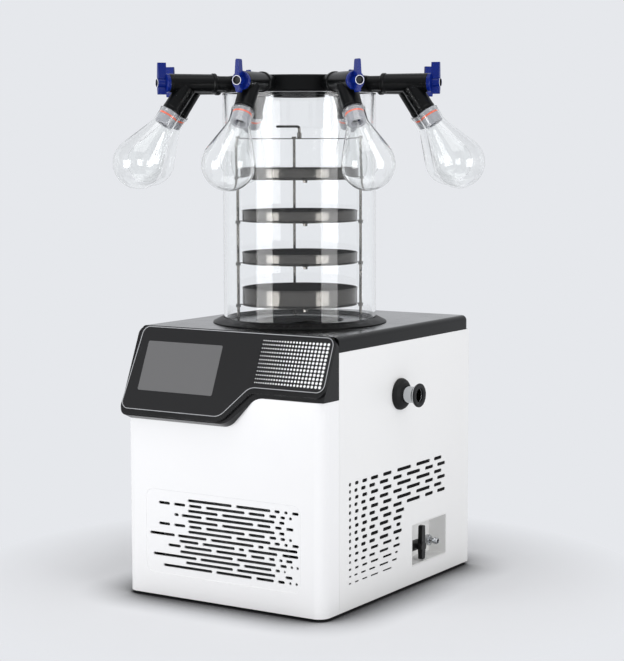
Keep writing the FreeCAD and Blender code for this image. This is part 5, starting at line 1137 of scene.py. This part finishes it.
# %% Stoppers and rings
sleeve = turn([(10, 57.5), (16.0, 57.5, 0.4), (16.0, 59.2, 0.3), (15.3, 59.7, 0.2),
               (16.0, 60.3, 0.3), (16.0, 62.0, 0.3), (15.3, 62.5, 0.2), (16.0, 63.1, 0.3),
               (16.1, 64.3, 0.2), (14.7, 64.5), (14.7, 67.3), (16.1, 67.5, 0.2),
               (15.5, 82.3, 0.8), (10, 82.3, 0.4)], 72, 3)
band = turn([(14.65, 64.5), (16.1, 64.5, 0.6), (16.1, 67.3, 0.6), (14.65, 67.3)], 72, 4)
for name, shape, finish, node in (("stopper_forms", sleeve, "silicone_grey", "stoppers"),
                                  ("ring_forms", band, "ring_orange", "o_rings")):
    copies = grown(placed(shape, ALONG_BRANCH), RING, finish, Start=FIRST_TURN)
    show(name, copies, finish, (node,))

# %% [markdown]
# ### Tray rack
# Three rods with nuts carry four thin shelf rings, and a top plate with a bent-wire handle
# ties them together. Every shelf reaches its rods with small lugs.

# %% Tray rack
ROD_REACH, ROD, PLATE_RADIUS, SHEET = 106, 2.4, 109, 1.6
HANDLE_RISE, HANDLE_REACH, WIRE = 20, 38, 2.0
PLATE = corners_of("tray_rack")[1][2] - HANDLE_RISE - SHEET - WIRE
PLATE_TOP = PLATE + SHEET
rod_places = [at(x, y) for x, y in ((ROD_REACH, 0), (0, ROD_REACH), (-ROD_REACH, 0))]


def bent_wire(points, radius, curl, steps=8):
    """A round wire through points, each corner bent to a radius; millimetres."""
    points = [Vector(point) for point in points]
    path = points[:1]
    for before, here, after in zip(points, points[1:], points[2:]):
        reach, back, on = bend(here, before, after, curl)
        start, end = here + back.normalized() * reach, here + on.normalized() * reach
        for k in range(steps + 1):
            t = k / steps
            path.append(start * (1 - t) ** 2 + here * 2 * t * (1 - t) + end * t ** 2)
    path += points[-1:]
    curve = bpy.data.curves.new("wire", "CURVE")
    curve.dimensions = "3D"
    curve.bevel_depth, curve.bevel_resolution, curve.use_fill_caps = radius * MM, 5, True
    spline = curve.splines.new("POLY")
    spline.points.add(len(path) - 1)
    for point, place in zip(spline.points, path):
        point.co = (*(place * MM), 1)
    return baked(add_object("wire", curve))


parts = [turn([(0, PLATE), (PLATE_RADIUS, PLATE, 0.5), (PLATE_RADIUS, PLATE_TOP, 0.5),
               (0, PLATE_TOP)], 128, 3)]
for place in rod_places:
    parts.append(placed(turn([(0, DECK_TOP), (ROD, DECK_TOP), (ROD, PLATE + 4.6, 0.8),
                              (0, PLATE + 4.6)], 24, 3), place))
shelf_nut = hex_nut(7.2, -4, 0, 2.2)
for number in range(1, 5):
    top = corners_of("tray_%d" % number)[0][2]
    low = top - SHEET
    parts.append(turn([(90, low, 0.3), (99, low, 0.3), (99, top, 0.3), (90, top, 0.3)], 128, 2))
    for step in range(4):
        turned = about("Z", step * pi / 2)
        parts.append(placed(block((96, -5, low), (110, 5, top)), turned))
        parts.append(placed(shelf_nut.copy(), turned, at(ROD_REACH, 0, low)))
for place in rod_places:
    parts.append(placed(shelf_nut.copy(), place, at(0, 0, PLATE + 4.6)))
crest = PLATE_TOP + HANDLE_RISE
parts.append(bent_wire([(0, 5, PLATE_TOP), (0, 5, crest), (-HANDLE_REACH, 5, crest),
                        (-HANDLE_REACH, -5, crest), (0, -5, crest), (0, -5, PLATE_TOP)], WIRE, 4.5))
for y in (-5, 5):
    parts.append(placed(turn([(0, PLATE_TOP), (3.4, PLATE_TOP, 0.5), (3.4, PLATE + 11, 0.6),
                              (0, PLATE + 11)], 32, 3), at(0, y)))
rack = placed(joined(*parts), about("Z", radians(37.8)))
show("rack_form", finished(rack, *eased(0.15, 1)), "stainless", ("tray_rack",))

# %% [markdown]
# ### Trays
# The trays are spun from thin stainless sheet. Their rims are rolled outwards, which stiffens
# them and leaves no sharp edge.

# %% Trays
TRAY, RIM, INSIDE, FLOOR = 99.1, 99.9, 98.2, 0.9
for number in range(1, 5):
    (_, _, low), (_, _, high) = corners_of("tray_%d" % number)
    dish = turn([(0, low), (TRAY, low, 3), (TRAY, high - 2.2, 0.3), (RIM, high - 2.0, 0.5),
                 (RIM, high - 0.1, 0.9), (INSIDE, high - 0.1, 0.7), (INSIDE, low + FLOOR, 2.3),
                 (0, low + FLOOR)], 160, 4)
    show("tray_form_%d" % number, dish, "stainless", ("tray_%d" % number,), sharp=40)

# %% [markdown]
# ### Machinery
# Behind the front slots stands the condenser: thin aluminium fins on looped copper tube. The
# fins are one plate repeated by a tree, and the tubes run through all of them.

# %% Condenser
FINS, FIN, END_PLATE, TUBE_ROWS = 96, 0.4, 1.4, 7
(left, front, foot), (right, back, top) = corners_of("condenser")
pitch = (right - left - 2 * END_PLATE - FIN) / (FINS - 1)
fin = block((left + END_PLATE, front + 1, foot + 2),
            (left + END_PLATE + FIN, back - 1, top - 2))
fins = scattered([(k * pitch, 0, 0) for k in range(FINS)], fin, "condenser_alu")
core = joined(block((left, front, foot), (left + END_PLATE, back, top)),
              block((right - END_PLATE, front, foot), (right, back, top)), fins)
show("condenser_form", core, "condenser_alu", ("condenser",))
wires = []
for lane in (0.3, 0.7):
    path = []
    for k in range(TUBE_ROWS):
        ends = (left + 4, right - 4) if k % 2 == 0 else (right - 4, left + 4)
        path += [(x, front + (back - front) * lane, foot + (top - foot) * (k + 0.5) / TUBE_ROWS)
                 for x in ends]
    wires.append(bent_wire(path, 3.0, 12))
show("condenser_tubes", joined(*wires), "copper")

# %% Compressor, fan and mains inlet
refine("compressor", "compressor_black", 0.5)
refine("fan_shroud", "shroud_black", 0.5)
refine("fan_motor", "compressor_black", 0.5)
refine("condenser_fan", "fan_black", 0.4, body="fan")
refine("power_inlet", "inlet_black", 0.5)
refine("power_rocker", "inlet_black", 0.5, body="rocker")

# %% [markdown]
# ## Light and ground
# Two tall soft boxes stand left and right of the camera, and a broad one hangs above. The
# ground is near-white and fades into the background, but keeps the object's shadow; near the
# object, ambient occlusion darkens its colour as a painted contact shadow.

# %% World
BACKDROP = srgb(230, 232, 236)
world = bpy.data.worlds.new("studio")
bpy.context.scene.world = world
world.use_nodes = True
tree = world.node_tree
tree.nodes.clear()
path = wire(tree, "ShaderNodeLightPath").outputs
seen = maths(tree, "MAXIMUM", path["Is Camera Ray"], path["Is Glossy Ray"])
seen = maths(tree, "MAXIMUM", seen, path["Is Transmission Ray"])
ambient = wire(tree, "ShaderNodeBackground", {"Color": (1, 1, 1, 1), "Strength": 0.46})
view = wire(tree, "ShaderNodeBackground", {"Color": BACKDROP, "Strength": 1.0})
choose = wire(tree, "ShaderNodeMixShader", {0: seen, 1: ambient, 2: view})
wire(tree, "ShaderNodeOutputWorld", {"Surface": choose})
bpy.context.scene.view_settings.view_transform = "Standard"
print("world", world.name)


# %% Soft boxes
def soft_box(name, angle, distance, height, aim_height, width, tall, watts):
    """A lamp at an angle round the chamber's axis, 0 in front of the cabinet."""
    lamp = bpy.data.lights.new(name, "AREA")
    lamp.shape = "RECTANGLE"
    lamp.size, lamp.size_y, lamp.energy = width, tall, watts
    holder = add_object(name, lamp)
    holder.location = (sin(angle) * distance, -cos(angle) * distance, height)
    aim = Vector((0, 0, aim_height)) - holder.location
    holder.rotation_euler = aim.to_track_quat("-Z", "Y").to_euler()
    holder.visible_camera = False
    print(name, watts, "watts")


soft_box("box_left", CAMERA_TURN - radians(53), 2.0, 0.64, 0.7, 0.92, 0.96, 15.5)
soft_box("box_right", CAMERA_TURN + radians(45), 2.0, 0.64, 0.7, 0.92, 0.96, 12.5)
soft_box("box_top", CAMERA_TURN, 0.6, 2.6, 0.2, 1.6, 1.6, 13)

# %% Ground
GROUND_HALF, FADE_START, FADE_END = 40, 0.36, 0.62
ground_mesh = bpy.data.meshes.new("ground")
ground_mesh.from_pydata([(x * GROUND_HALF, y * GROUND_HALF, 0)
                         for x, y in ((-1, -1), (1, -1), (1, 1), (-1, 1))], [], [(0, 1, 2, 3)])
ground = add_object("ground", ground_mesh)
ground_paint, tree, surface = new_material("ground_paint")
tree.nodes.remove(surface)
place = wire(tree, "ShaderNodeTexCoord")
reach = wire(tree, "ShaderNodeVectorMath", {0: place.outputs["Object"]}, operation="LENGTH")
# Painted contact shadow: within 10 cm of the object, ambient occlusion darkens the ground's colour towards dark
# grey.
near = wire(tree, "ShaderNodeAmbientOcclusion", {"Distance": 0.1}, samples=12)
painted_contact_shadow = remapped(tree, near.outputs["AO"], 0.5, 0.98)
ground_colour_with_painted_shadow = mixed(tree, painted_contact_shadow, srgb(60, 60, 62), srgb(240, 241, 244))
fade = remapped(tree, reach.outputs["Value"], FADE_START, FADE_END)
lit = wire(tree, "ShaderNodeBsdfDiffuse", {"Color": ground_colour_with_painted_shadow})
glow = wire(tree, "ShaderNodeEmission", {"Color": BACKDROP, "Strength": 1.0})
choose = wire(tree, "ShaderNodeMixShader", {0: fade, 1: lit, 2: glow})
fill(tree.nodes["Material Output"], {"Surface": choose})
ground_mesh.materials.append(ground_paint)
print("ground fades from", FADE_START, "to", FADE_END, "m")
